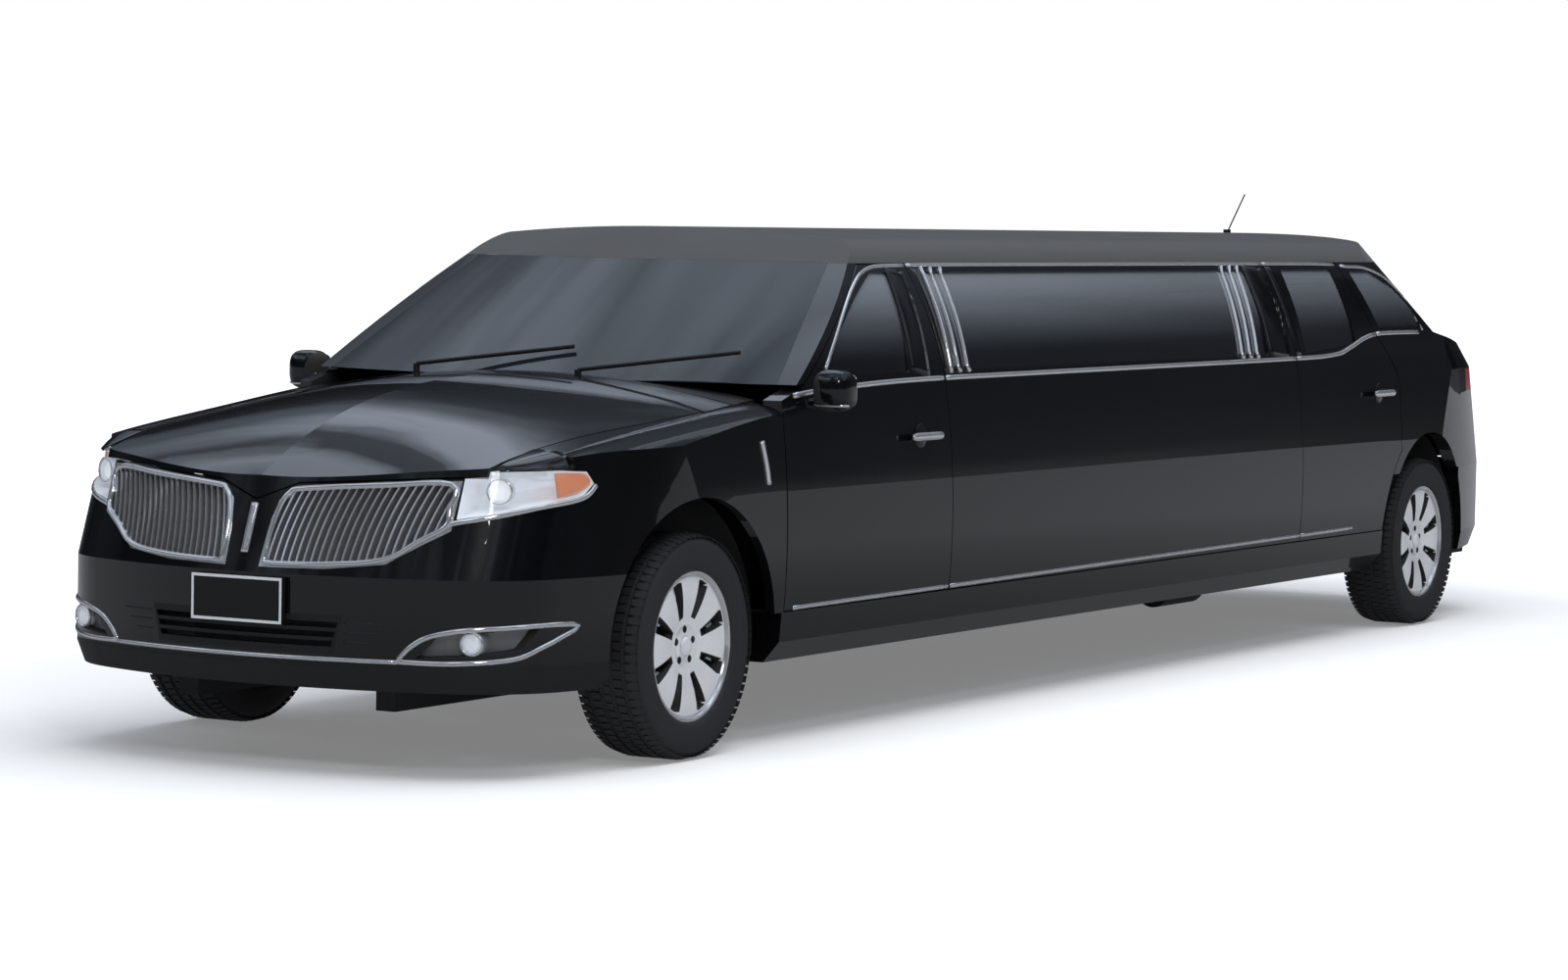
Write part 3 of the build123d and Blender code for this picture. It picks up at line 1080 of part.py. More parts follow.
# Cabin
dash_face = outline(
    (fore(DASH_FRONT_X), DASH_LOW_Z), (fore(DASH_FRONT_X), DASH_FRONT_Z),
    ((fore(DASH_FRONT_X / 2 + DASH_REAR_X / 2), DASH_FRONT_Z),
     (fore(DASH_REAR_X) + PLINTH_SET_IN, DASH_BROW_Z)),
    (fore(DASH_REAR_X), DASH_BROW_Z - PLINTH_SET_IN), (fore(DASH_REAR_X) + PLINTH_SET_IN, DASH_LOW_Z))
dash = extrude(Plane((0, DASH_HALF, 0), x_dir=(1, 0, 0), z_dir=(0, -1, 0)) * dash_face,
               amount=2 * DASH_HALF)
grip = Plane.XZ * Pos(STEER_RADIUS, 0) * RegularPolygon(STEER_GRIP, STEER_GRIP_SIDES)
ring = Rot(0, 90 - STEER_TILT, 0) * revolve(grip, axis=Axis.Z)
hub = Rot(0, 90 - STEER_TILT, 0) * Cylinder(STEER_HUB, STEER_GRIP * 2)
for angle in (0, 180, 270):
    spoke = Rot(0, 90 - STEER_TILT, 0) * Rot(0, 0, angle) * Pos(STEER_RADIUS / 2, 0,
                                                                0) * Box(STEER_RADIUS, STEER_GRIP * 2,
                                                                         STEER_GRIP)
    hub += spoke
steering = Pos(fore(STEER_X), STEER_Y, STEER_Z) * (ring + hub)
column = rod((fore(STEER_X), STEER_Y, STEER_Z),
             (fore(DASH_REAR_X) + PLINTH_SET_IN, STEER_Y,
              STEER_Z - PLINTH_SET_IN), STEER_HUB * STEER_COLUMN_SHARE)
node["dashboard"] = [dash]
node["steering_wheel"] = [(steering + column) - dash]
seats = []
for y in (SEAT_Y, -SEAT_Y):
    pan = block((fore(SEAT_REAR_X), y - SEAT_HALF, SEAT_PAN_Z - SEAT_THICK),
                (fore(SEAT_FRONT_X), y + SEAT_HALF, SEAT_PAN_Z))
    base = block((fore(SEAT_REAR_X) + PLINTH_SET_IN, y - SEAT_HALF + PLINTH_SET_IN,
                  FLOOR_Z + FLOOR_THICK + SEAT_GAP),
                 (fore(SEAT_FRONT_X) - PLINTH_SET_IN, y + SEAT_HALF - PLINTH_SET_IN,
                  SEAT_PAN_Z - SEAT_THICK))
    back_face = outline(
        (fore(SEAT_REAR_X), SEAT_PAN_Z - SEAT_THICK / 2), (fore(SEAT_REAR_X) - SEAT_RECLINE,
                                                           SEAT_BACK_TOP_Z),
        (fore(SEAT_REAR_X) - SEAT_RECLINE + SEAT_BACK_THICK * SEAT_BACK_TOP_SHARE, SEAT_BACK_TOP_Z),
        (fore(SEAT_REAR_X) + SEAT_BACK_THICK, SEAT_PAN_Z - SEAT_THICK / 2))
    back = extrude(Plane((0, y + SEAT_HALF, 0), x_dir=(1, 0, 0), z_dir=(0, -1, 0)) * back_face,
                   amount=2 * SEAT_HALF)
    rest_x = fore(SEAT_REAR_X) - SEAT_RECLINE
    rest = block((rest_x, y - HEADREST_HALF, SEAT_BACK_TOP_Z - HEADREST_THICK / 2),
                 (rest_x + HEADREST_THICK, y + HEADREST_HALF, SEAT_BACK_TOP_Z + HEADREST_HEIGHT))
    seats.append(fillet(pan.edges().filter_by(Axis.X), BENCH_ROUND) + base + back + rest)
node["front_seats"] = seats
side_bench = block((aft(REAR_BENCH_X + BENCH_DEPTH), -SIDE_BENCH_WALL_Y,
                    FLOOR_Z + FLOOR_THICK + SEAT_GAP),
                   (fore(SIDE_BENCH_FRONT_X), -SIDE_BENCH_Y, BENCH_Z))
side_back = block((aft(REAR_BENCH_X + BENCH_DEPTH), -SIDE_BENCH_WALL_Y, BENCH_Z),
                  (fore(SIDE_BENCH_FRONT_X), -SIDE_BENCH_WALL_Y + BENCH_BACK_THICK, BENCH_BACK_Z))
node["saloon_seats"] = [fillet(side_bench.edges().filter_by(Axis.X), BENCH_ROUND) + side_back]
rear_bench = block((aft(REAR_BENCH_X), -ARCH_INNER_REAR_Y + PLINTH_SET_IN,
                    FLOOR_Z + FLOOR_THICK + SEAT_GAP),
                   (aft(REAR_BENCH_X + BENCH_DEPTH) - PANEL_GAP, ARCH_INNER_REAR_Y - PLINTH_SET_IN,
                    BENCH_Z))
node["saloon_seats"] += [fillet(rear_bench.edges().filter_by(Axis.Y), BENCH_ROUND)]
node["bar_cabinet"] = [block((aft(BAR_REAR_X), BAR_INNER_Y, FLOOR_Z + FLOOR_THICK + SEAT_GAP),
                             (fore(BAR_FRONT_X), SIDE_BENCH_WALL_Y, BAR_TOP_Z))]

# Wipers, antenna and exhaust
wipers = []
for pivot_y in (-WIPER_PIVOT_Y, WIPER_PIVOT_Y / 2):
    pivot = (fore(HOOD_REAR_X) - SHUT_GAP - FIREWALL_THICK, pivot_y)
    spindle = rod((*pivot, WIPER_Z - 2 * FRONT_WALL), (*pivot, WIPER_Z), WIPER_SPINDLE_RADIUS)
    arm = rod((*pivot, WIPER_Z), (pivot[0] - WIPER_RUN, pivot[1] + WIPER_SPAN, WIPER_Z + WIPER_RISE),
              WIPER_RADIUS)
    wipers.append((spindle - front_loft(-SEAT_GAP)) + arm)
node["wipers"] = wipers
mast_foot = (aft(ANTENNA_X), 0, ROOF_Z - PANEL_GAP)
mast = rod(mast_foot, (aft(ANTENNA_X - ANTENNA_LEAN), 0, ANTENNA_Z), ANTENNA_RADIUS)
base = Pos(aft(ANTENNA_X), 0, ROOF_Z + SEAT_GAP + ANTENNA_BASE_HEIGHT / 2) * Cylinder(ANTENNA_BASE_RADIUS,
                                                                                      ANTENNA_BASE_HEIGHT)
node["antenna"] = [base + (mast & block((aft(-TAIL_X), -ROOF_Z, ROOF_Z + SEAT_GAP),
                                        (fore(0), ROOF_Z, 2 * ROOF_Z)))]
pipe = rod((fore(-SILL_ENDS), EXHAUST_Y, EXHAUST_Z), (aft(EXHAUST_END_X), EXHAUST_Y, EXHAUST_Z),
           EXHAUST_RADIUS)
muffler = rod((aft(TRAIL_LENGTH + MUFFLER_LENGTH * 2), EXHAUST_Y, EXHAUST_Z),
              (aft(TRAIL_LENGTH + MUFFLER_LENGTH), EXHAUST_Y, EXHAUST_Z), MUFFLER_RADIUS)
node["exhaust"] = [pipe + muffler]

os.makedirs("parts", exist_ok=True)
for name, shapes in node.items():
    solids = [solid for shape in shapes for solid in shape.solids()]
    export_step(solids[0] if len(solids) == 1 else Compound(children=solids), f"parts/{name}.step")
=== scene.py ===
"""The looks of a stretched limousine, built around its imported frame.

Metres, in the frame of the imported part: +X forward, +Y to the car's left, +Z up, with the origin
on the ground under the middle of the car. Trims and lamps are laid on the real panels by casting
rays at them, so they keep to the frame's surfaces.
"""
from __future__ import annotations

import json
import logging
import math
from dataclasses import dataclass, field
from enum import Enum

import bmesh
import bpy
import numpy as np
from bpy.types import Material, Mesh, Node, NodeTree, Object, Scene
from mathutils import Matrix, Vector
from mathutils.bvhtree import BVHTree

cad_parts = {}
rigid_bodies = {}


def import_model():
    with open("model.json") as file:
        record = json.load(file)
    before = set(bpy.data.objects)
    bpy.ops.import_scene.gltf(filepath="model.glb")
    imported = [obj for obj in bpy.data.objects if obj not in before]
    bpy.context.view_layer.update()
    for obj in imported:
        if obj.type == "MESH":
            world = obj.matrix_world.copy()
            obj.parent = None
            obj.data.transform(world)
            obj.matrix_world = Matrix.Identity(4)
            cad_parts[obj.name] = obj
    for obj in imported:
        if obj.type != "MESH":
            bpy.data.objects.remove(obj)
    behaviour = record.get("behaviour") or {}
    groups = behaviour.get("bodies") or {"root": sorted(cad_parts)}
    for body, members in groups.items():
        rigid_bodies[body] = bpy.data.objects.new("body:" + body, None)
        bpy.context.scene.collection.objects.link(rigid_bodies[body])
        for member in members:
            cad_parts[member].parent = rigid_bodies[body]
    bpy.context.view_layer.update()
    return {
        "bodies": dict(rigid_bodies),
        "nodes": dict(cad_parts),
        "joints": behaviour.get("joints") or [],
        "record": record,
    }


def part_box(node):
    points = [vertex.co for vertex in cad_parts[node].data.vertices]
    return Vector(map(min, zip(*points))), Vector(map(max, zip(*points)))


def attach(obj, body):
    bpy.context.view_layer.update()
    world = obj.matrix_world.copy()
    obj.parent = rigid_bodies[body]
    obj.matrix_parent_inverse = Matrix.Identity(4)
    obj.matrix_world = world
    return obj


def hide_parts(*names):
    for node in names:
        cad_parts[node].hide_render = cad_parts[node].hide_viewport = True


LOG = logging.getLogger("limousine")
FRONT_AXLE_X = 3.060
REAR_AXLE_X = -2.983
TRACK_HALF = 0.827
WHEEL_Z = 0.353
MERGE = 1e-5
BODY = "car_body"
FRONT_DOOR = "front_door_{side}_body"
REAR_DOOR = "rear_door_{side}_body"
SIDES = (("left", 1.0), ("right", -1.0))
FLANK_STARTS = ("fender", "front_door", "stretch_panel", "rear_door", "quarter_panel")
FLANK_NODES = ("stretch_glass", "quarter_glass", "roof", "a_pillars", "sills")
NOSE_NODES = ("front_bumper", "grille_wings", "headlamps", "fog_lamps", "hood", "chin_spoiler",
              "intake_slats", "fender_left")

Point = tuple[float, float, float]
Pair = tuple[float, float]
Pairs = tuple[Pair, ...]
Parts = tuple[list, list]
Laid = tuple[list[Vector], list[Vector]]


def fore(distance: float) -> float:
    """The X place of a distance ahead of the front axle.

    Args:
        distance: metres ahead of the front axle.

    Returns:
        The X coordinate.
    """
    return FRONT_AXLE_X + distance


# Finishes
class Finish(Enum):
    """The finishes of the car, by the name of their material."""

    PAINT = "gloss_black_paint"
    ROOF = "grained_roof_cover"
    CHROME = "bright_trim"
    ALLOY = "bright_wheel"
    SILVER = "satin_silver"
    DARK = "dark_moulding"
    SATIN = "satin_black_trim"
    RUBBER = "tyre_rubber"
    SCREEN = "windscreen_glass"
    TINT = "tinted_glass"
    LENS = "clear_lens"
    BOWL = "lamp_bowl"
    AMBER = "amber_lens"
    RED = "red_lens"
    BULB = "lamp_bulb"
    STEEL = "dull_steel"
    IRON = "cast_iron"
    LEATHER = "black_leather"
    WOOD = "dark_veneer"
    MIRROR = "mirror_glass"
    PLATE = "blank_plate"


@dataclass(frozen=True)
class Grain:
    """The fine pattern that breaks a finish up."""

    strength: float
    size: float
    depth: float
    shade: float


@dataclass(frozen=True)
class Surface:
    """One finish in numbers, with the slot of the part's record that it shows."""

    finish: Finish
    slot: str
    colour: Point
    roughness: float
    grain: Grain | None = None
    metallic: float = 0.0
    coat: float = 0.0
    coat_roughness: float = 0.03
    alpha: float = 1.0
    sheen: float = 0.0
    specular: float = 0.5
    emission: float = 0.0


SURFACES = (
    Surface(Finish.PAINT, "paint", (0.0035, 0.0035, 0.0045), 0.30, Grain(0.02, 0.0012, 0.00001, 0.1),
            coat=1.0, coat_roughness=0.015, specular=0.12),
    Surface(Finish.ROOF, "roof_cover", (0.042, 0.043, 0.046), 0.62, Grain(0.55, 0.0022, 0.0006, 0.35),
            sheen=0.15),
    Surface(Finish.CHROME, "bright_metal", (0.88, 0.89, 0.91), 0.09, Grain(0.02, 0.02, 0.00001, 0.06),
            metallic=0.8),
    Surface(Finish.ALLOY, "bright_metal", (0.80, 0.81, 0.83), 0.16, Grain(0.03, 0.01, 0.00002, 0.08),
            metallic=0.7),
    Surface(Finish.SILVER, "bright_metal", (0.92, 0.93, 0.95), 0.24, Grain(0.03, 0.01, 0.00002, 0.08),
            metallic=0.2, coat=0.5),
    Surface(Finish.DARK, "black_plastic", (0.012, 0.012, 0.013), 0.5, Grain(0.3, 0.0016, 0.0002, 0.3)),
    Surface(Finish.SATIN, "black_plastic", (0.010, 0.010, 0.011), 0.28, Grain(0.1, 0.001, 0.00004, 0.2),
            coat=0.4, coat_roughness=0.1),
    Surface(Finish.RUBBER, "tyre", (0.027, 0.027, 0.029), 0.72, Grain(0.4, 0.003, 0.0002, 0.3)),
    Surface(Finish.SCREEN, "clear_glass", (0.010, 0.013, 0.017), 0.0, alpha=0.88, specular=0.42),
    Surface(Finish.TINT, "tinted_glass", (0.004, 0.0045, 0.005), 0.02, alpha=0.93, specular=0.8,
            coat=1.0, coat_roughness=0.0),
    Surface(Finish.LENS, "lamp_glass", (0.92, 0.95, 0.97), 0.0, alpha=0.16, specular=0.8,
            coat=1.0, coat_roughness=0.0),
    # painted reflection: this finish's glow stands in for the bright reflections of the headlamp housings and
    # fog lamp glass
    Surface(Finish.BOWL, "bright_metal", (0.86, 0.90, 0.97), 0.24, Grain(0.2, 0.012, 0.0006, 0.1),
            metallic=0.2, emission=0.18),
    Surface(Finish.AMBER, "lamp_glass", (0.95, 0.21, 0.015), 0.2, Grain(0.2, 0.004, 0.0004, 0.2), coat=1.0),
    Surface(Finish.RED, "red_lens", (0.42, 0.006, 0.008), 0.30, Grain(0.2, 0.006, 0.0003, 0.3),
            specular=0.3, coat=0.2),
    Surface(Finish.BULB, "lamp_glass", (0.95, 0.97, 1.0), 0.05, coat=1.0, emission=0.35),
    Surface(Finish.STEEL, "steel", (0.030, 0.030, 0.032), 0.6, Grain(0.5, 0.01, 0.0003, 0.4), metallic=0.4),
    Surface(Finish.IRON, "iron", (0.022, 0.022, 0.023), 0.75, Grain(0.7, 0.006, 0.0008, 0.4), metallic=0.3),
    Surface(Finish.LEATHER, "leather", (0.020, 0.018, 0.017), 0.45, Grain(0.5, 0.004, 0.0004, 0.3),
            sheen=0.1),
    Surface(Finish.WOOD, "wood", (0.09, 0.035, 0.015), 0.25, Grain(0.5, 0.03, 0.00005, 0.7), coat=0.8),
    Surface(Finish.MIRROR, "bright_metal", (0.85, 0.87, 0.9), 0.02, Grain(0.01, 0.1, 0.0, 0.02),
            metallic=1.0),
    Surface(Finish.PLATE, "black_plastic", (0.008, 0.008, 0.009), 0.4, Grain(0.2, 0.002, 0.0001, 0.2)),
)


def add(tree: NodeTree, kind: str, values: dict | None = None, **settings: object) -> Node:
    """Adds one node to a tree.

    Args:
        tree: the tree.
        kind: the node's type.
        values: the values of its inputs, by name or number.
        settings: its other settings.

    Returns:
        The node.
    """
    node = tree.nodes.new(kind)
    for name, setting in settings.items():
        setattr(node, name, setting)
    for socket, value in (values or {}).items():
        node.inputs[socket].default_value = value
    return node


def wire(tree: NodeTree, *links: tuple) -> None:
    """Links nodes of a tree.

    Args:
        tree: the tree.
        links: each link as a node, its output, the next node and its input.
    """
    for source, output, target, socket in links:
        tree.links.new(source.outputs[output], target.inputs[socket])


def remap(tree: NodeTree, span: Pair = (0.0, 1.0), onto: Pair = (0.0, 1.0), **settings: object) -> Node:
    """Adds a node that maps one range of values onto another.

    Args:
        tree: the tree.
        span: the range that comes in.
        onto: the range that goes out.
        settings: its other settings.

    Returns:
        The node.
    """
    values = {"From Min": span[0], "From Max": span[1], "To Min": onto[0], "To Max": onto[1]}
    return add(tree, "ShaderNodeMapRange", values, **settings)


def new_material(name: str, values: dict) -> tuple[Material, Node]:
    """Makes a material.

    Args:
        name: its name.
        values: the values of its main shader's inputs, by name.

    Returns:
        The material and its main shader.
    """
    material = bpy.data.materials.new(name)
    material.use_nodes = True
    shader = material.node_tree.nodes["Principled BSDF"]
    for socket, value in values.items():
        shader.inputs[socket].default_value = value
    return material, shader


@dataclass
class Workshop:
    """Makes the materials from their numbers."""

    made: dict[Finish, Material] = field(default_factory=dict)
    axis_z: float = 0.78
    inward_below: float = -0.12
    # the painted sky reflection on tinted glass: the heights it rises over, and its dark and light colours
    sky_reflection_rise: Pair = (1.22, 1.53)
    glass_low: Point = (0.004, 0.0045, 0.005)
    painted_sky_reflection: Point = (0.23, 0.25, 0.28)

    def build(self) -> None:
        """Makes every finish once."""
        for surface in SURFACES:
            self.made[surface.finish] = self.material(surface)
        self.line_inside(self.made[Finish.PAINT], (0.028, 0.026, 0.025), 0.8)
        self.line_inside(self.made[Finish.ROOF], (0.10, 0.10, 0.105), 0.9)

    def __getitem__(self, finish: Finish) -> Material:
        """The material of a finish."""
        return self.made[finish]

    def material(self, surface: Surface) -> Material:
        """Makes one finish: its colour broken up by noise, with a fine bump.

        Args:
            surface: the finish in numbers.

        Returns:
            The material.
        """
        colour = (*surface.colour, 1.0)
        material, shader = new_material(surface.finish.value, {
            "Base Color": colour, "Roughness": surface.roughness, "Metallic": surface.metallic,
            "Coat Weight": surface.coat, "Coat Roughness": surface.coat_roughness,
            "Alpha": surface.alpha, "Sheen Weight": surface.sheen,
            "Specular IOR Level": surface.specular, "Emission Strength": surface.emission})
        if surface.emission:
            shader.inputs["Emission Color"].default_value = colour
        if surface.grain:
            self.break_up(material.node_tree, shader, surface, surface.grain)
        # painted sky reflection: tinted glass is made lighter toward its top
        if surface.finish is Finish.TINT:
            self.paint_sky_reflection(material.node_tree, shader)
        return material

    def paint_sky_reflection(self, tree: NodeTree, shader: Node) -> None:
        """Paints a sky reflection on tinted glass, lightening it toward its upper edge.

        Args:
            tree: the material's nodes.
            shader: its main shader.
        """
        place, split = add(tree, "ShaderNodeTexCoord"), add(tree, "ShaderNodeSeparateXYZ")
        rise = remap(tree, self.sky_reflection_rise, interpolation_type="SMOOTHSTEP")
        tone = add(tree, "ShaderNodeMix", {"A": (*self.glass_low, 1.0), "B": (*self.painted_sky_reflection, 1.0)},
                   data_type="RGBA")
        wire(tree, (place, "Object", split, "Vector"), (split, "Z", rise, "Value"),
             (rise, "Result", tone, "Factor"), (tone, "Result", shader, "Base Color"))

    def break_up(self, tree: NodeTree, shader: Node, surface: Surface,
                 grain: Grain) -> None:
        """Adds the noise that varies a finish's colour and roughness, and its bump.

        Args:
            tree: the material's nodes.
            shader: its main shader.
            surface: the finish in numbers.
            grain: its fine pattern.
        """
        place = add(tree, "ShaderNodeTexCoord")
        noise = add(tree, "ShaderNodeTexNoise", {"Scale": 1.0 / grain.size, "Detail": 3.0})
        cloud = add(tree, "ShaderNodeTexNoise", {"Scale": 3.0, "Detail": 2.0})
        low = (c * (1.0 - grain.shade) for c in surface.colour)
        high = (min(1.0, c * (1.0 + grain.shade)) for c in surface.colour)
        mix = add(tree, "ShaderNodeMix", {"A": (*low, 1.0), "B": (*high, 1.0)}, data_type="RGBA")
        rough, swing = surface.roughness, grain.strength / 3
        spread = remap(tree, onto=(max(0.0, rough * (1 - swing)), min(1.0, rough * (1 + swing))))
        wire(tree, (place, "Object", noise, "Vector"), (place, "Object", cloud, "Vector"),
             (noise, "Fac", mix, "Factor"), (mix, "Result", shader, "Base Color"),
             (cloud, "Fac", spread, "Value"), (spread, "Result", shader, "Roughness"))
        if grain.depth:
            bump = add(tree, "ShaderNodeBump", {"Strength": grain.strength, "Distance": grain.depth})
            wire(tree, (noise, "Fac", bump, "Height"), (bump, "Normal", shader, "Normal"))

    def line_inside(self, material: Material, colour: Point, roughness: float) -> None:
        """Gives a panel's inward faces the dull lining of the cabin.

        Args:
            material: a panel's finish, whose outer look is kept.
            colour: the lining's colour.
            roughness: the lining's roughness.
        """
        tree = material.node_tree
        outer, end = tree.nodes["Principled BSDF"], tree.nodes["Material Output"]
        lining = add(tree, "ShaderNodeBsdfPrincipled", {"Base Color": (*colour, 1.0), "Roughness": roughness})
        place = add(tree, "ShaderNodeTexCoord")
        spoke = add(tree, "ShaderNodeVectorMath", {1: (0.0, 1.0, 1.0), 2: (0.0, 0.0, -self.axis_z)},
                    operation="MULTIPLY_ADD")
        facing = add(tree, "ShaderNodeVectorMath", operation="DOT_PRODUCT")
        inward = add(tree, "ShaderNodeMath", {1: self.inward_below}, operation="LESS_THAN")
        choose = add(tree, "ShaderNodeMixShader")
        wire(tree, (place, "Object", spoke, 0), (spoke, "Vector", facing, 0), (place, "Normal", facing, 1),
             (facing, "Value", inward, 0), (inward, "Value", choose, "Fac"), (outer, "BSDF", choose, 1),
             (lining, "BSDF", choose, 2), (choose, "Shader", end, "Surface"))


# Mesh tools
def merge(mesh: Mesh, outward: bool = True) -> None:
    """Merges a mesh's double points.

    Args:
        mesh: the mesh.
        outward: whether its faces are turned outward, or else its loose points dropped.
    """
    work = bmesh.new()
    work.from_mesh(mesh)
    bmesh.ops.remove_doubles(work, verts=work.verts, dist=MERGE)
    if outward:
        bmesh.ops.recalc_face_normals(work, faces=work.faces)
    else:
        bmesh.ops.delete(work, geom=[v for v in work.verts if not v.link_faces], context="VERTS")
    work.to_mesh(mesh)
    work.free()


def make_piece(name: str, verts: list, faces: list, material: Material, smooth: bool = True,
               tidy: bool = True) -> Object:
    """Makes one object from points and faces.

    Args:
        name: the piece's name.
        verts: its points.
        faces: its faces, as point numbers.
        material: its finish.
        smooth: whether its faces are shaded smooth.
        tidy: whether doubles are merged and the faces turned outward.

    Returns:
        The object, at the origin.
    """
    mesh = bpy.data.meshes.new(name)
    mesh.from_pydata([tuple(v) for v in verts], [], [tuple(f) for f in faces])
    mesh.validate()
    if tidy:
        merge(mesh)
    mesh.polygons.foreach_set("use_smooth", [smooth] * len(mesh.polygons))
    mesh.materials.append(material)
    piece = bpy.data.objects.new(name, mesh)
    bpy.context.scene.collection.objects.link(piece)
    LOG.info("%s: %d faces", name, len(mesh.polygons))
    return piece


def join_parts(parts: list[Parts]) -> Parts:
    """Puts several point and face lists together.

    Args:
        parts: pairs of points and faces.

    Returns:
        One pair of points and faces.
    """
    verts: list = []
    faces: list = []
    for some_verts, some_faces in parts:
        base = len(verts)
        verts += list(some_verts)
        faces += [tuple(i + base for i in f) for f in some_faces]
    return verts, faces


def quads(rows: int, columns: int, ring: bool = False, tube: bool = True) -> list[tuple[int, ...]]:
    """The faces between rows of points.

    Args:
        rows: how many rows there are.
        columns: how many points each has.
        ring: whether the last row joins the first.
        tube: whether each row's last point joins its first.

    Returns:
        The faces, row by row.
    """
    faces = []
    for row in range(rows if ring else rows - 1):
        here, there = row * columns, (row + 1) % rows * columns
        for k in range(columns if tube else columns - 1):
            n = (k + 1) % columns
            faces.append((here + k, here + n, there + n, there + k))
    return faces


def shift(parts: Parts, x: float, y: float, z: float) -> Parts:
    """The same points and faces, moved."""
    return [(vx + x, vy + y, vz + z) for vx, vy, vz in parts[0]], parts[1]


def lathe(profile: list[Pair], steps: int) -> Parts:
    """Turns a closed profile of (Y, radius) points about the Y axis.

    Args:
        profile: the points, in order.
        steps: how many steps make a full turn.

    Returns:
        Points and faces.
    """
    angles = (2 * math.pi * step / steps for step in range(steps))
    verts = [(r * math.cos(angle), y, r * math.sin(angle)) for angle in angles for y, r in profile]
    return verts, quads(steps, len(profile), ring=True)


def sweep(path: list[Vector], normals: list[Vector], profile: list[Pair],
          loop: bool = False) -> Parts:
    """Runs a closed profile along a path that lies on a surface.

    Args:
        path: the path's points.
        normals: the surface's normal at each point.
        profile: (across, out) points of the section.
        loop: whether the path closes on itself.

    Returns:
        Points and faces, with capped ends on an open path.
    """
    verts, count, last = [], len(profile), len(path)
    for index, (point, normal) in enumerate(zip(path, normals)):
        before = path[(index - 1) % last] if loop or index else point
        after = path[(index + 1) % last] if loop or index < last - 1 else point
        run = (after - before).normalized()
        across = normal.cross(run).normalized()
        out = run.cross(across).normalized()
        verts += [point + across * a + out * o for a, o in profile]
    faces = quads(last, count, ring=loop)
    if not loop:
        faces += [tuple(range(count)), tuple(reversed(range((last - 1) * count, last * count)))]
    return verts, faces


def smooth_line(points: list[tuple], steps: int) -> list[tuple]:
    """A smooth line through points.

    Args:
        points: the points that it passes.
        steps: pieces between each two points.

    Returns:
        The denser line.
    """
    line = []
    ends = [points[0], *points, points[-1]]
    for index in range(1, len(ends) - 2):
        p0, p1, p2, p3 = (np.array(ends[index + k - 1], float) for k in range(4))
        for step in range(steps):
            t = step / steps
            line.append(tuple(0.5 * (2 * p1 + (p2 - p0) * t + (2 * p0 - 5 * p1 + 4 * p2 - p3) * t * t
                                     + (3 * p1 - p0 - 3 * p2 + p3) * t ** 3)))
    line.append(tuple(points[-1]))
    return line


def mirror_parts(parts: Parts) -> Parts:
    """The same points and faces on the car's right."""
    verts, faces = parts
    return [(v[0], -v[1], v[2]) for v in verts], [tuple(reversed(f)) for f in faces]


def make_sides(body: str, *pieces: tuple[str, Parts, Material]) -> list[Object]:
    """Makes pieces of the car's left and their mirror images, riding a body of their side.

    Args:
        body: the body that they ride, with {side} for the side.
        pieces: each one's name without the side, its left points and faces, and its finish.

    Returns:
        The pieces, those of the left first.
    """
    made = []
    for side, sign in SIDES:
        for name, left, material in pieces:
            piece = make_piece(f"{name}_{side}", *(left if sign > 0 else mirror_parts(left)), material)
            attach(piece, body.format(side=side))
            made.append(piece)
    return made


def slab(grid: list[list[Vector]], normals: list[list[Vector]], thickness: float) -> Parts:
    """A closed sheet under a grid of points.

    Args:
        grid: rows of points on the sheet's outer face.
        normals: the outward normals there.
        thickness: how thick it is.

    Returns:
        Points and faces.
    """
    rows, columns = len(grid), len(grid[0])
    verts = [p for row in grid for p in row]
    verts += [p - n * thickness for row, ns in zip(grid, normals) for p, n in zip(row, ns)]
    back = rows * columns
    faces = []
    for quad in quads(rows, columns, tube=False):
        faces += [quad, tuple(back + i for i in reversed(quad))]
    rim = [(r * columns + c, (r + 1) * columns + c) for c in (0, columns - 1) for r in range(rows - 1)]
    rim += [(r * columns + c, r * columns + c + 1) for r in (0, rows - 1) for c in range(columns - 1)]
    faces += [(a, b, back + b, back + a) for a, b in rim]
    return verts, faces


def cushion(low: Point, high: Point, lean: float = 0.0, channels: int = 0, power: float = 7.0,
            steps: int = 18) -> Parts:
    """A stuffed block with rounded edges and stitched channels.

    Args:
        low: its lowest corner.
        high: its highest corner.
        lean: how far its top is moved along X.
        channels: how many stitched channels cross its width.
        power: how square it is.
        steps: pieces along each edge.

    Returns:
        Points and faces.
    """
    half = [(b - a) / 2 for a, b in zip(low, high)]
    middle = [(a + b) / 2 for a, b in zip(low, high)]
    verts, faces = [], []
    for axis in range(3):
        for sign in (-1.0, 1.0):
            base = len(verts)
            for i in range(steps + 1):
                for j in range(steps + 1):
                    u = [0.0, 0.0, 0.0]
                    u[axis] = sign
                    u[(axis + 1) % 3] = 2 * i / steps - 1
                    u[(axis + 2) % 3] = 2 * j / steps - 1
                    size = sum(abs(c) ** power for c in u) ** (1 / power)
                    x, y, z = (c / size * h * 0.995 + m for c, h, m in zip(u, half, middle))
                    if channels:
                        dip = abs(math.sin(math.pi * channels * (y - low[1]) / (high[1] - low[1])))
                        sink = 0.012 * (1 - dip) ** 3
                        x, z = x + (middle[0] - x) * sink * 2, z + (middle[2] - z) * sink * 2
                    verts.append((x + lean * (z - low[2]) / (high[2] - low[2]), y, z))
            faces += [tuple(base + i for i in f) for f in quads(steps + 1, steps + 1, tube=False)]
    return verts, faces


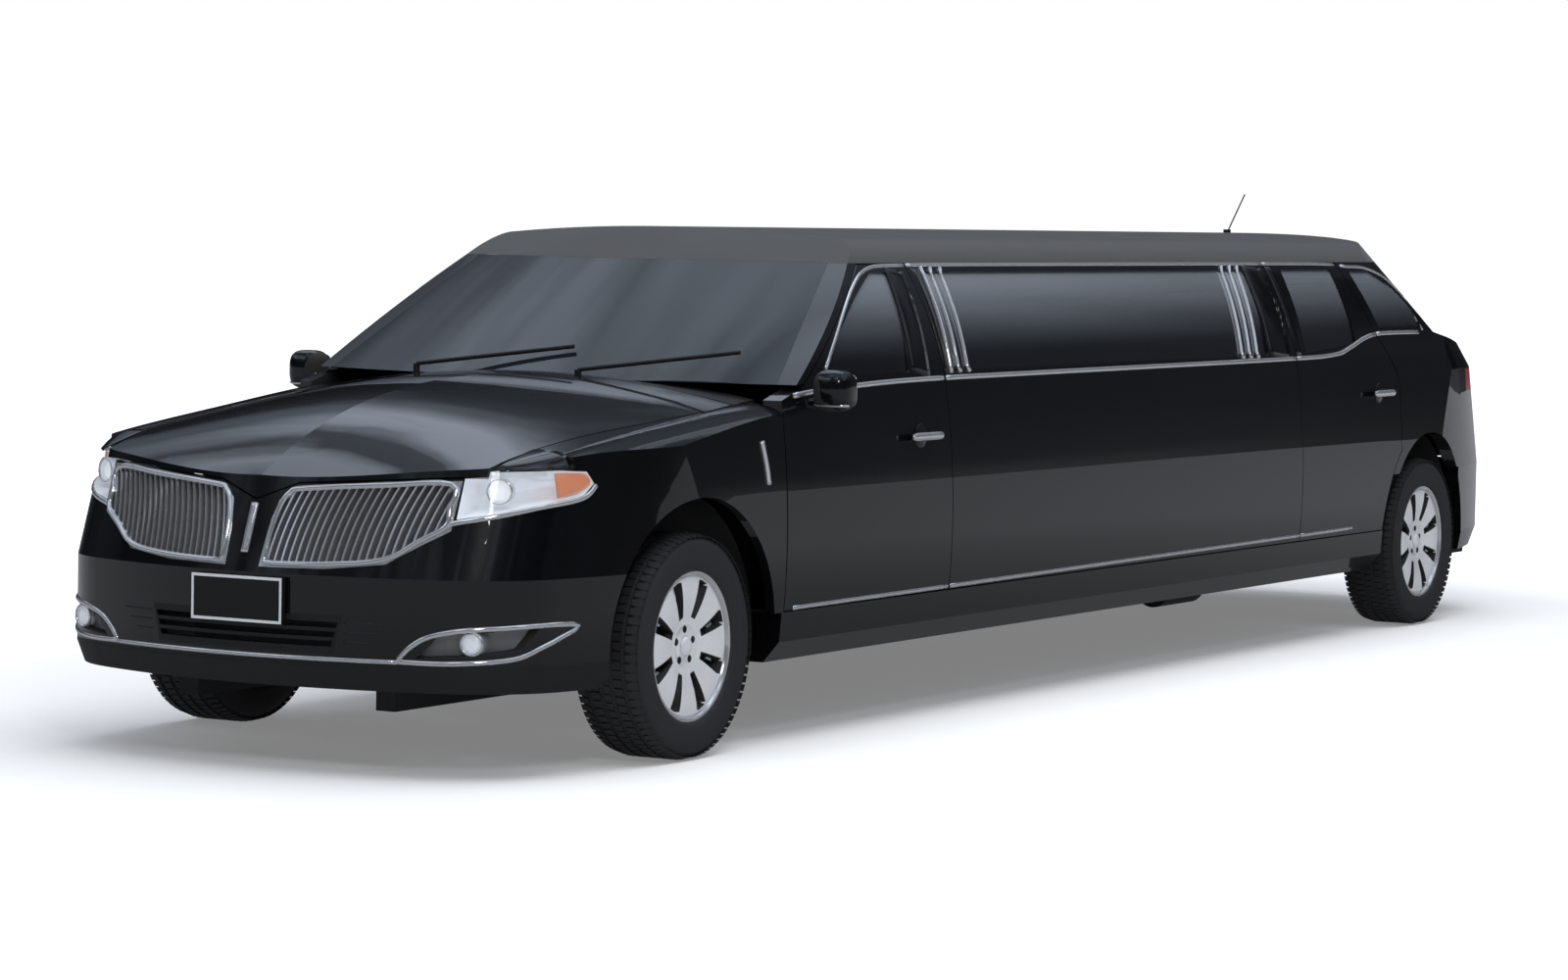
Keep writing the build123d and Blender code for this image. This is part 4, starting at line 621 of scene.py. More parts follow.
def band(width: float, height: float) -> list[Pair]:
    """The section of a thin crowned strip, sunk a little into its panel."""
    w, h = width / 2, height
    return [(-w, -0.001), (-w, h * 0.35), (-w * 0.6, h * 0.85), (0.0, h), (w * 0.6, h * 0.85),
            (w, h * 0.35), (w, -0.001)]


@dataclass
class Skin:
    """The car's panels, to lay things on."""

    tree: BVHTree
    beside: Pairs = ((0, 0), (0, 0.008), (0, -0.008), (-0.01, 0), (0.01, 0), (0, 0.02), (0, -0.02))
    flank_start: float = 2.0
    flank_least: float = 0.4
    nose_start: float = 6.0

    @classmethod
    def of(cls, nodes: dict, names: list[str]) -> "Skin":
        """Gathers panels into one surface.

        Args:
            nodes: the frame's objects by name.
            names: the panels' names.

        Returns:
            The surface.
        """
        verts, faces = join_parts([
            ([v.co.copy() for v in nodes[n].data.vertices],
             [tuple(p.vertices) for p in nodes[n].data.polygons]) for n in names])
        return cls(BVHTree.FromPolygons(verts, faces))

    def flank(self, points: list[Pair]) -> Laid:
        """Lays (x, z) points on the left flank, reading the panel beside a gap where one is met."""
        path, normals = [], []
        for x, z in points:
            for dx, dz in self.beside:
                start = Vector((x + dx, self.flank_start, z + dz))
                place, normal, _, _ = self.tree.ray_cast(start, Vector((0, -1, 0)))
                if place is not None and place.y > self.flank_least:
                    break
            else:
                raise ValueError(f"the flank has no panel near {x}, {z}")
            path.append(Vector((x, place.y, z)))
            normals.append(normal if normal.y > 0 else -normal)
        return path, normals

    def nose(self, points: list[Pair], middle: Pair | None = None,
             reach: float = 0.014) -> Laid:
        """Lays (y, z) points on the nose.

        Args:
            points: the points, seen from ahead.
            middle: the middle of an opening, whose edge is then read that far outside it.
            reach: how far outside.

        Returns:
            The points and the surface's normals there.
        """
        path, normals = [], []
        for y, z in points:
            way = Vector((y - middle[0], z - middle[1])).normalized() if middle else Vector((0.0, 1.0))
            for share in ((1.0, 1.6, 2.2, 0.5) if middle else (0.0, 0.4, -0.4, 0.8, -0.8)):
                away = way * reach * share
                start = Vector((self.nose_start, y + away.x, z + away.y))
                place, normal, _, _ = self.tree.ray_cast(start, Vector((-1, 0, 0)))
                if place is not None and place.x > fore(0.0):
                    break
            else:
                raise ValueError(f"the nose has no panel near {y}, {z}")
            normal = normal if normal.x > 0 else -normal
            path.append(Vector((place.x + (normal.y * away.x + normal.z * away.y) / normal.x, y, z)))
            normals.append(normal)
        return path, normals


def around(piece: Object, tree: NodeTree, values: dict[str, object]) -> None:
    """Runs a geometry tree on a piece and keeps its result as a plain mesh.

    Args:
        piece: the piece, whose mesh the tree starts from.
        tree: the geometry tree.
        values: its inputs, by name.
    """
    modifier = piece.modifiers.new("build", "NODES")
    modifier.node_group = tree
    sockets = {i.name: i.identifier for i in tree.interface.items_tree if i.in_out == "INPUT"}
    for name, value in values.items():
        modifier[sockets[name]] = value
    bpy.context.view_layer.update()
    graph = bpy.context.evaluated_depsgraph_get()
    result = bpy.data.meshes.new_from_object(piece.evaluated_get(graph))
    piece.modifiers.clear()
    piece.data = result


def ring_tree() -> NodeTree:
    """A tree that sets copies of one block in a ring about the Y axis.

    Returns:
        The tree, with inputs for the count, the block and its finish.
    """
    tree = bpy.data.node_groups.new("blocks_in_a_ring", "GeometryNodeTree")
    for name, way, kind in (("Geometry", "INPUT", "Geometry"), ("Count", "INPUT", "Int"),
                            ("Block", "INPUT", "Object"), ("Finish", "INPUT", "Material"),
                            ("Geometry", "OUTPUT", "Geometry")):
        tree.interface.new_socket(name, in_out=way, socket_type=f"NodeSocket{kind}")
    start, end = add(tree, "NodeGroupInput"), add(tree, "NodeGroupOutput")
    line = add(tree, "GeometryNodeMeshLine", {"Offset": (0.0, 0.0, 0.0)})
    index = add(tree, "GeometryNodeInputIndex")
    share = add(tree, "ShaderNodeMath", operation="DIVIDE")
    turn = add(tree, "ShaderNodeMath", {1: 2 * math.pi}, operation="MULTIPLY")
    angle = add(tree, "ShaderNodeCombineXYZ")
    block = add(tree, "GeometryNodeObjectInfo")
    place = add(tree, "GeometryNodeInstanceOnPoints")
    real = add(tree, "GeometryNodeRealizeInstances")
    paint = add(tree, "GeometryNodeSetMaterial")
    both = add(tree, "GeometryNodeJoinGeometry")
    wire(tree, (start, "Count", line, "Count"), (index, "Index", share, 0), (start, "Count", share, 1),
         (share, "Value", turn, 0), (turn, "Value", angle, "Y"), (start, "Block", block, "Object"),
         (line, "Mesh", place, "Points"), (block, "Geometry", place, "Instance"),
         (angle, "Vector", place, "Rotation"), (place, "Instances", real, "Geometry"),
         (real, "Geometry", paint, "Geometry"), (start, "Finish", paint, "Material"),
         (start, "Geometry", both, "Geometry"), (paint, "Geometry", both, "Geometry"),
         (both, "Geometry", end, "Geometry"))
    return tree


# Wheels
@dataclass
class Tyre:
    """A road tyre: a lathed carcass with circumferential grooves, and tread blocks in a ring."""

    radius: float = 0.3525
    bead_radius: float = 0.2330
    half_width: float = 0.1165
    bulge_radius: float = 0.296
    shoulder: float = 0.017
    groove_depth: float = 0.007
    blocks: int = 76
    block_lean: float = 0.006
    steps: int = 128

    def profile(self) -> list[Pair]:
        """The carcass section as (Y, radius) points.

        Returns:
            The closed section, outer side first.
        """
        r, w, b = self.radius - self.groove_depth, self.half_width, self.bead_radius
        outer = [(w - 0.026, b), (w - 0.012, b + 0.004), (w - 0.006, b + 0.012), (w - 0.004, b + 0.028),
                 (w, self.bulge_radius), (w - 0.0015, self.bulge_radius + 0.018), (w - 0.005, r - 0.019),
                 (w - self.shoulder, r - 0.001)]
        crown = []
        for index, y in enumerate((0.072, 0.066, 0.060, 0.026, 0.020, 0.014)):
            depth = 0.006 if index in (1, 4) else 0.0
            crown.append((y, r + 0.002 * (1 - (y / w) ** 2) - depth))
        right = [(-y, z) for y, z in reversed(outer + crown)]
        return outer + crown + right + [(-(w - 0.040), b - 0.001), (w - 0.040, b - 0.001)]

    def block(self, material: Material) -> Object:
        """One row of tread and shoulder blocks, that a ring repeats.

        Args:
            material: the rubber.

        Returns:
            The row, which is removed after use.
        """
        parts = []
        step = 2 * math.pi * self.radius / self.blocks
        low, high = self.radius - self.groove_depth - 0.001, self.radius
        w = self.half_width
        rows = ((w - 0.0035, 0.074, 0.78), (0.058, 0.028, 0.84), (0.012, -0.012, 0.86),
                (-0.028, -0.058, 0.84), (-0.074, -(w - 0.0035), 0.78))
        for index, (y0, y1, fill) in enumerate(rows):
            half, shift = step * fill / 2, (index - 2) * self.block_lean
            drop = [0.012 if abs(y) > 0.1 else 0.0005 for y in (y0, y1)]
            verts = []
            for y, fall in ((y0, drop[0]), (y1, drop[1])):
                for z, squeeze in ((low - 0.002, 1.0), (high - fall, 0.92)):
                    verts += [(z, y, shift - half * squeeze), (z, y, shift + half * squeeze)]
            faces = [(0, 1, 3, 2), (4, 6, 7, 5), (0, 2, 6, 4), (1, 5, 7, 3), (2, 3, 7, 6), (0, 4, 5, 1)]
            parts.append((verts, faces))
        return make_piece("tread_row", *join_parts(parts), material, smooth=False)

    def build(self, name: str, tree: NodeTree, material: Material,
              place: Point, side: float) -> Object:
        """Makes one tyre in its place.

        Args:
            name: the piece's name.
            tree: the tree that sets blocks in a ring.
            material: the rubber.
            place: the wheel's centre.
            side: 1 on the left and -1 on the right.

        Returns:
            The tyre.
        """
        tyre = make_piece(name, *lathe(self.profile(), self.steps), material)
        row = self.block(material)
        around(tyre, tree, {"Count": self.blocks, "Block": row, "Finish": material})
        bpy.data.objects.remove(row)
        settle(tyre, place, side)
        return tyre


def settle(piece: Object, place: Point, side: float) -> None:
    """Moves a wheel's mesh to its place and turns its outer face outward.

    Args:
        piece: the piece, made about the origin with its outer face towards +Y.
        place: the wheel's centre.
        side: 1 on the left and -1 on the right.
    """
    piece.data.transform(Matrix.Translation(place) @ Matrix.Diagonal((1.0, side, 1.0, 1.0)))
    if side < 0:
        piece.data.flip_normals()


@dataclass
class Wheel:
    """An eight-spoked bright wheel with a recessed hub and a blank cap."""

    spokes: int = 8
    lugs: int = 5
    rim_radius: float = 0.232
    well_radius: float = 0.216
    hub_radius: float = 0.074
    face_y: float = 0.088
    hub_rings: Pairs = ((0.030, 0.009), (0.036, 0.014), (0.038, 0.014), (0.064, 0.014), (0.067, 0.010),
                        (0.070, 0.010))
    pocket_depth: float = 0.030
    pocket_hub_half: float = 0.011
    pocket_rim_half: float = 0.026
    pocket_end: float = 0.006
    pocket_side: float = 0.005
    steep: float = 0.55
    lug_ring: float = 0.052
    lug_angle: float = 0.3
    steps: int = 24
    rim_steps: int = 128

    def face_height(self, radius: float) -> float:
        """How far out the wheel's face lies at a radius.

        Args:
            radius: the distance from the axle.

        Returns:
            The Y place, before pockets.
        """
        share = min(1.0, max(0.0, (radius - self.hub_radius) / (self.well_radius - self.hub_radius)))
        return self.face_y - 0.010 + 0.014 * math.sin(share * math.pi * 0.62)

    def pocket(self, radius: float, angle: float) -> float:
        """How deep a pocket between two spokes is at a point, from 0 to 1.

        Args:
            radius: the distance from the axle.
            angle: the angle about the axle.

        Returns:
            The share of the full depth.
        """
        period = 2 * math.pi / self.spokes
        off = abs((angle / period) % 1.0 - 0.5) * period * radius
        inner, outer = self.hub_radius + 0.018, self.well_radius - self.pocket_end
        along = (radius - inner) / (outer - inner)
        half = self.pocket_hub_half + (self.pocket_rim_half - self.pocket_hub_half) * along
        across = min(1.0, max(0.0, (half - off) / self.pocket_side))
        ends = min(1.0, max(0.0, min(radius - inner, outer - radius) / self.pocket_end))
        return across * ends

    def lug_recesses(self) -> Parts:
        """The shallow round recesses of the wheel bolts, in a ring.

        Returns:
            Points and faces.
        """
        parts = []
        for index in range(self.lugs):
            angle = 2 * math.pi * index / self.lugs + self.lug_angle
            recess = lathe([(0.0, 0.0), (0.0015, 0.0), (0.0015, 0.0105), (0.0, 0.0118)], 16)
            parts.append(shift(recess, self.lug_ring * math.cos(angle), self.face_y - 0.014,
                               self.lug_ring * math.sin(angle)))
        return join_parts(parts)

    def build(self, name: str, shop: Workshop, place: Point, side: float) -> list[Object]:
        """Makes the wheel in its place: barrel, face, dark pockets, lug recesses, cap and brake.

        Args:
            name: the wheel node's name.
            shop: the finishes.
            place: the wheel's centre.
            side: 1 on the left and -1 on the right.

        Returns:
            The pieces, the rim first.
        """
        y, edge, well = self.face_y, self.rim_radius, self.well_radius
        barrel = [(y + 0.0135, edge + 0.0035), (y + 0.0145, edge - 0.002), (y + 0.012, edge - 0.007),
                  (y + 0.004, well + 0.004), (y - 0.004, well), (y - 0.045, well - 0.001),
                  (-0.093, well - 0.001), (-0.1005, edge - 0.001), (-0.1005, edge + 0.003),
                  (-0.093, edge + 0.002), (-0.09, edge - 0.001), (y + 0.003, edge - 0.001),
                  (y + 0.005, edge + 0.002)]
        floor = [(y - 0.036, 0.080), (y - 0.036, well), (y - 0.046, well), (y - 0.046, 0.080)]
        cap = [(y - 0.02, 0.0), (y + 0.002, 0.0), (y + 0.001, 0.018), (y - 0.003, 0.027),
               (y - 0.008, 0.030), (y - 0.02, 0.031)]
        disc = [(y - 0.112, 0.05), (y - 0.112, 0.164), (y - 0.092, 0.164), (y - 0.092, 0.075),
                (y - 0.05, 0.073), (y - 0.05, 0.05)]
        pieces = [make_piece(f"{name}_{title}", *parts, shop[finish]) for title, parts, finish in (
            ("rim", lathe(barrel, self.rim_steps), Finish.ALLOY), ("face", self.face(), Finish.SILVER),
            ("pocket_floor", lathe(floor, 64), Finish.DARK),
            ("lug_recesses", self.lug_recesses(), Finish.DARK), ("cap", lathe(cap, 48), Finish.SILVER),
            ("brake", lathe(disc, 96), Finish.STEEL))]
        face = pieces[1].data
        face.materials.append(shop[Finish.DARK])
        for polygon in face.polygons:
            polygon.material_index = int(abs(polygon.normal.y) < self.steep or polygon.normal.y < 0)
        for piece in pieces:
            settle(piece, place, side)
        return pieces

    def face(self) -> Parts:
        """The wheel's spoked face as a sheet with thickness behind it.

        Returns:
            Points and faces.
        """
        count = self.spokes * self.steps
        rings = [(radius, self.face_y - depth) for radius, depth in self.hub_rings]
        rings += [(radius, self.face_height(radius))
                  for radius in np.linspace(self.hub_radius, self.well_radius + 0.003, 26)]
        verts, faces = [], []
        for radius, height in rings:
            for step in range(count):
                angle = 2 * math.pi * step / count
                y = height - self.pocket_depth * self.pocket(radius, angle)
                verts.append((radius * math.cos(angle), y, radius * math.sin(angle)))
        back = len(verts)
        deep = self.face_y - self.pocket_depth * 0.8
        verts += [(x, min(y, self.face_y - 0.012) - 0.012, z) for x, y, z in verts]
        for quad in quads(len(rings), count):
            if any(verts[i][1] >= deep for i in quad):
                faces += [quad, tuple(back + i for i in reversed(quad))]
        for first in (0, back - count):
            for step in range(count):
                a, b = first + step, first + (step + 1) % count
                faces.append((a, b, back + b, back + a))
        return verts, faces


# Trims and lamps
@dataclass
class Flank:
    """The bright lines, bars and pillars of the car's side, laid on the panels."""

    skin: Skin
    shop: Workshop
    belt: Pairs = (
        (-0.60, 1.112), (-0.82, 1.126), (-1.39, 1.143), (-2.36, 1.147), (-4.48, 1.152), (-5.05, 1.160),
        (-5.25, 1.188), (-5.42, 1.222), (-5.60, 1.238), (-6.02, 1.238))
    header: Pairs = (
        (-0.84, 1.192), (-0.96, 1.285), (-1.09, 1.378), (-1.22, 1.455), (-1.36, 1.508), (-1.58, 1.522),
        (-2.60, 1.524), (-4.53, 1.524), (-5.30, 1.522), (-5.52, 1.512), (-5.72, 1.505), (-5.90, 1.462),
        (-6.02, 1.405), (-6.065, 1.33), (-6.075, 1.245))
    sill: Pairs = (
        (-0.575, 0.436), (-1.9, 0.440), (-3.4, 0.446), (-4.9, 0.452), (-5.40, 0.456))
    bar_bottoms: tuple[float, ...] = (-1.700, -1.768, -1.836)
    bar_tops: tuple[float, ...] = (-1.752, -1.824, -1.896)
    rear_bottoms: tuple[float, ...] = (-4.150, -4.222, -4.294)
    rear_tops: tuple[float, ...] = (-4.262, -4.338, -4.410)
    belt_ends: Pairs = ((-1.640, -0.530), (-4.660, -1.662), (-5.540, -4.675), (-6.10, -5.555))
    header_ends: Pairs = ((-1.640, -0.530), (-4.660, -1.662), (-5.40, -4.675), (-6.10, -5.47))
    sill_ends: Pairs = ((-1.640, -0.530), (-4.660, -1.662), (-5.20, -4.675))
    window_foot: float = 1.160
    window_middle: float = 1.34
    bar_top_z: float = 1.515
    pillar_top_z: float = 1.512
    cut_step: float = 0.04

    def lay(self, name: str, points: Pairs, section: Pair, finish: Finish = Finish.CHROME,
            body: str = BODY, steps: int = 5, cut: Pair | None = None) -> None:
        """Lays one strip on both flanks.

        Args:
            name: the strips' name.
            points: (x ahead of the front axle, z) points.
            section: the strip's width, and how proud it stands.
            finish: its finish.
            body: the body that it rides, with {side} for the side.
            steps: pieces between each two points.
            cut: the stretch of x that is kept.
        """
        line = smooth_line(list(points), steps)
        if cut:
            xs, zs = [p[0] for p in reversed(line)], [p[1] for p in reversed(line)]
            low, high = max(cut[0], xs[0]), min(cut[1], xs[-1])
            count = max(3, int((high - low) / self.cut_step) + 1)
            line = [(x, float(np.interp(x, xs, zs))) for x in np.linspace(high, low, count)]
        laid = self.skin.flank([(fore(x), z) for x, z in line])
        make_sides(body, (name, sweep(*laid, band(*section)), self.shop[finish]))

    def upright(self, name: str, low: float, high: float, top: float, section: Pair,
                finish: Finish = Finish.CHROME, body: str = BODY) -> None:
        """Lays one slanted strip across the windows."""
        points = ((low, self.window_foot), ((low + high) / 2, self.window_middle), (high, top))
        self.lay(name, points, section, finish, body)

    def build(self) -> None:
        """Lays every strip of the flanks."""
        bodies = (FRONT_DOOR, BODY, REAR_DOOR, BODY)
        for index, body in enumerate(bodies):
            for name, line, width, ends in (("belt_trim", self.belt, 0.017, self.belt_ends),
                                            ("header_trim", self.header, 0.013, self.header_ends)):
                self.lay(f"{name}_{index}", line, (width, 0.0045), body=body, steps=14, cut=ends[index])
        for name, body, cut in zip(("front", "middle", "rear"), bodies, self.sill_ends):
            self.lay(f"sill_trim_{name}", self.sill, (0.014, 0.004), body=body, steps=12, cut=cut)
        bars = [*zip(self.bar_bottoms, self.bar_tops), *zip(self.rear_bottoms, self.rear_tops)]
        for index, (low, high) in enumerate(bars):
            self.upright(f"slanted_bar_{index}", low, high, self.bar_top_z, (0.013, 0.012))
        for name, body, low, high, width in (
                ("front_pillar_cover", FRONT_DOOR, -1.490, -1.560, 0.125),
                ("stretch_pillar_front", BODY, -1.676, -1.700, 0.030),
                ("stretch_pillar_rear", BODY, -4.520, -4.560, 0.200),
                ("rear_door_pillar", REAR_DOOR, -4.700, -4.715, 0.055)):
            self.upright(name, low, high, self.pillar_top_z, (width, 0.0025), Finish.PAINT, body)
        self.lay("fender_bar", ((-0.372, 0.975), (-0.392, 0.905), (-0.404, 0.838)), (0.020, 0.009))


@dataclass
class Nose:
    """The bright lines of the nose, the intake's grooves and the plate."""

    skin: Skin
    shop: Workshop
    wing_edge: Pairs = (
        (0.078, 0.628), (0.078, 0.720), (0.094, 0.800), (0.118, 0.836), (0.160, 0.849), (0.420, 0.868),
        (0.612, 0.877), (0.622, 0.800), (0.618, 0.752), (0.553, 0.710), (0.462, 0.653), (0.285, 0.633))
    lamp_low: Pairs = (
        (0.908, 0.759), (0.875, 0.774), (0.726, 0.812), (0.568, 0.836), (0.512, 0.872))
    fog_edge: Pairs = (
        (0.513, 0.356), (0.548, 0.396), (0.600, 0.430), (0.690, 0.452), (0.790, 0.460), (0.886, 0.464),
        (0.874, 0.425), (0.840, 0.385), (0.790, 0.364), (0.650, 0.354))
    wing_middle: Pair = (0.35, 0.76)
    fog_middle: Pair = (0.72, 0.41)
    chin_half: float = 0.515
    chin_z: float = 0.354
    bar_ends: Pair = (0.655, 0.800)
    groove_start: float = 0.352
    groove_ends: Pairs = ((0.463, 0.475), (0.435, 0.450), (0.407, 0.425))
    plate_rim: float = 0.008

    def strip(self, name: str, laid: Laid, section: Pair, finish: Finish = Finish.CHROME,
              loop: bool = False) -> None:
        """Makes one strip along a laid line, and its mirror image."""
        make_sides(BODY, (name, sweep(*laid, band(*section), loop), self.shop[finish]))

    def edging(self, name: str, edge: Pairs, middle: Pair, section: Pair) -> None:
        """Makes a closed strip around an opening, and its mirror image."""
        points = smooth_line([*edge, edge[0]], 4)[:-1]
        self.strip(name, self.skin.nose(points, middle), section, loop=True)

    def central(self, name: str, points: list[Pair], section: Pair) -> None:
        """Makes one bright strip on the car's middle."""
        strip = sweep(*self.skin.nose(points), band(*section))
        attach(make_piece(name, *strip, self.shop[Finish.CHROME]), BODY)

    def build(self) -> None:
        """Lays the wings' frames, the lines of lamps, fog lamps and intake, and the centre bar."""
        self.edging("grille_frame", self.wing_edge, self.wing_middle, (0.017, 0.011))
        low = smooth_line([(fore(x), z) for x, z in self.lamp_low], 5)
        self.strip("lamp_line", self.skin.flank(low), (0.016, 0.006))
        self.edging("fog_line", self.fog_edge, self.fog_middle, (0.015, 0.006))
        chin = np.linspace(-self.chin_half, self.chin_half, 41)
        self.central("chin_line", [(y, self.chin_z) for y in chin], (0.013, 0.006))
        self.central("centre_bar", [(0.0, z) for z in np.linspace(*self.bar_ends, 16)], (0.026, 0.009))
        for index, (z, reach) in enumerate(self.groove_ends):
            laid = self.skin.nose([(y, z) for y in np.linspace(self.groove_start, reach, 9)])
            self.strip(f"intake_groove_{index}", laid, (0.005, 0.0015), Finish.STEEL)

    def plate(self) -> None:
        """Makes the blank plate with a thin bright line around it."""
        low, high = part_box("front_plate")
        x = high.x
        corners = [(x_side, y, z) for x_side in (low.x, x - 0.002) for y in (low.y, high.y)
                   for z in (low.z, high.z)]
        sides = [(0, 1, 3, 2), (4, 6, 7, 5), (0, 4, 5, 1), (2, 3, 7, 6), (0, 2, 6, 4), (1, 5, 7, 3)]
        blank = make_piece("blank_plate", corners, sides, self.shop[Finish.PLATE], smooth=False)
        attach(blank, BODY)
        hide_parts("front_plate")
        verts = []
        corners = ((low.y, low.z), (high.y, low.z), (high.y, high.z), (low.y, high.z))
        rim = self.plate_rim
        for inset, out in ((-0.0005, -0.004), (-0.0005, 0.0), (rim, 0.0), (rim, -0.003)):
            for y, z in corners:
                verts.append((x + out, y + math.copysign(inset, -y),
                              z + (inset if z < (low.z + high.z) / 2 else -inset)))
        frame = make_piece("plate_frame", verts, quads(4, 4, ring=True), self.shop[Finish.SILVER],
                           smooth=False)
        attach(frame, BODY)


@dataclass
class Lamps:
    """The headlamps' covers, housings, painted shoulders and insides, and the fog lamps."""

    nodes: dict
    lens: Skin
    shop: Workshop
    outward: Point = (0.60, 0.75, 0.25)
    outer_from: float = 0.45
    projector: Point = (0.788, 0.727, 0.857)
    projector_radius: float = 0.040
    projector_yaw: float = 0.35
    amber_top: Pairs = (
        (0.662, 0.912), (0.600, 0.912), (0.545, 0.906), (0.528, 0.890))
    amber_foot: Pairs = (
        (0.662, 0.838), (0.600, 0.846), (0.552, 0.862), (0.532, 0.876))
    fog_place: Point = (0.905, 0.715, 0.414)
    fog_radius: float = 0.036
    fog_yaw: float = 0.2
    shoulder_inner: float = 0.722
    shoulder_columns: int = 14
    shoulder: tuple[tuple[float, float, float, float], ...] = (
        (0.600, 0.977, 0.868, 0.930), (0.620, 0.973, 0.858, 0.926), (0.650, 0.967, 0.846, 0.923),
        (0.680, 0.960, 0.831, 0.922), (0.710, 0.953, 0.812, 0.921), (0.740, 0.946, 0.792, 0.921),
        (0.770, 0.938, 0.764, 0.920), (0.800, 0.929, 0.735, 0.919))

    def build(self) -> None:
        """Makes every lamp."""
        self.shoulders()
        self.covers()
        self.reflectors()
        self.round_lamps()

    def covers(self) -> None:
        """Splits a copy of each headlamp into a clear cover and the bright housing behind it, which glows
        with a painted reflection.
        """
        mesh = self.nodes["headlamps"].data
        clear: list = []
        for polygon in mesh.polygons:
            normal = Vector((polygon.normal.x, abs(polygon.normal.y), polygon.normal.z))
            clear.append(normal.dot(Vector(self.outward)) > self.outer_from
                         and polygon.normal.y * polygon.center.y > -0.01)
        verts = [v.co.copy() for v in mesh.vertices]
        for name, keep, finish in (("headlamp_cover", True, Finish.LENS),
                                   ("headlamp_housing", False, Finish.BOWL)):
            faces = [tuple(p.vertices) for p, c in zip(mesh.polygons, clear) if c == keep]
            piece = make_piece(name, verts, faces, self.shop[finish], tidy=False)
            merge(piece.data, outward=False)
            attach(piece, BODY)
            if keep:
                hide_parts("headlamps")

    def shoulders(self) -> None:
        """Closes the step between the hood's edge and each headlamp with a painted shoulder."""
        rows, start, span = [], self.shoulder[0][0], 0.2
        for x, inner_z, outer_y, outer_z in self.shoulder:
            power = 5.0 - (x - start) / span * 3.0
            rows.append([Vector((fore(x), self.shoulder_inner + (outer_y - self.shoulder_inner) * t,
                                 inner_z + (outer_z - inner_z) * t ** power))
                         for t in np.linspace(0.0, 1.0, self.shoulder_columns)])
        up = [[Vector((0.0, 0.0, 1.0))] * self.shoulder_columns for _ in rows]
        make_sides(BODY, ("lamp_shoulder", slab(rows, up, 0.003), self.shop[Finish.PAINT]))

    def reflectors(self) -> None:
        """Sets the amber reflector behind the cover's tip."""
        rows, normals = [], []
        for share in np.linspace(0.0, 1.0, 5):
            line = [(a[0] + (b[0] - a[0]) * share, a[1] + (b[1] - a[1]) * share)
                    for a, b in zip(self.amber_top, self.amber_foot)]
            path, ns = self.lens.flank([(fore(x), z) for x, z in smooth_line(line, 4)])
            rows.append([p - n * 0.006 for p, n in zip(path, ns)])
            normals.append(ns)
        make_sides(BODY, ("amber_reflector", slab(rows, normals, 0.004), self.shop[Finish.AMBER]))

    def turned(self, profile: list[Pair], place: Point, yaw: float) -> Parts:
        """A lathed part that faces forward.

        Args:
            profile: (forward, radius) points.
            place: where it sits, ahead of the front axle.
            yaw: how far it is turned outward.

        Returns:
            Points and faces.
        """
        verts, faces = lathe(profile, 40)
        turn = Matrix.Rotation(yaw, 3, "Z") @ Matrix.Rotation(-math.pi / 2, 3, "Z")
        middle = Vector((fore(place[0]), place[1], place[2]))
        return [turn @ Vector(v) + middle for v in verts], faces

    def round_lamps(self) -> None:
        """Makes the ring and glass of each headlamp's projector and of each fog lamp."""
        r, f = self.projector_radius, self.fog_radius
        ring = [(0.0, r), (0.008, r + 0.001), (0.010, r - 0.004), (0.004, r - 0.007), (-0.03, r - 0.007),
                (-0.03, r)]
        dome = [(-0.012, 0.0), (0.006, 0.0), (0.004, r * 0.4), (-0.001, r * 0.65), (-0.008, r - 0.008),
                (-0.012, r - 0.008)]
        fog_ring = [(0.0, f), (0.012, f + 0.0005), (0.014, f - 0.004), (0.008, f - 0.006), (-0.01, f - 0.006),
                    (-0.01, f)]
        fog_glass = [(0.0, 0.0), (0.009, 0.0), (0.008, f * 0.5), (0.006, f - 0.007), (0.0, f - 0.007)]
        head, fog = (self.projector, self.projector_yaw), (self.fog_place, self.fog_yaw)
        for name, profile, seat, finish in (
                ("projector_ring", ring, head, Finish.CHROME), ("projector_lens", dome, head, Finish.BULB),
                # the fog lamps' glass takes the lamp bowl's glow, a painted reflection
                ("fog_ring", fog_ring, fog, Finish.CHROME), ("fog_glass", fog_glass, fog, Finish.BOWL)):
            make_sides(BODY, (name, self.turned(profile, *seat), self.shop[finish]))


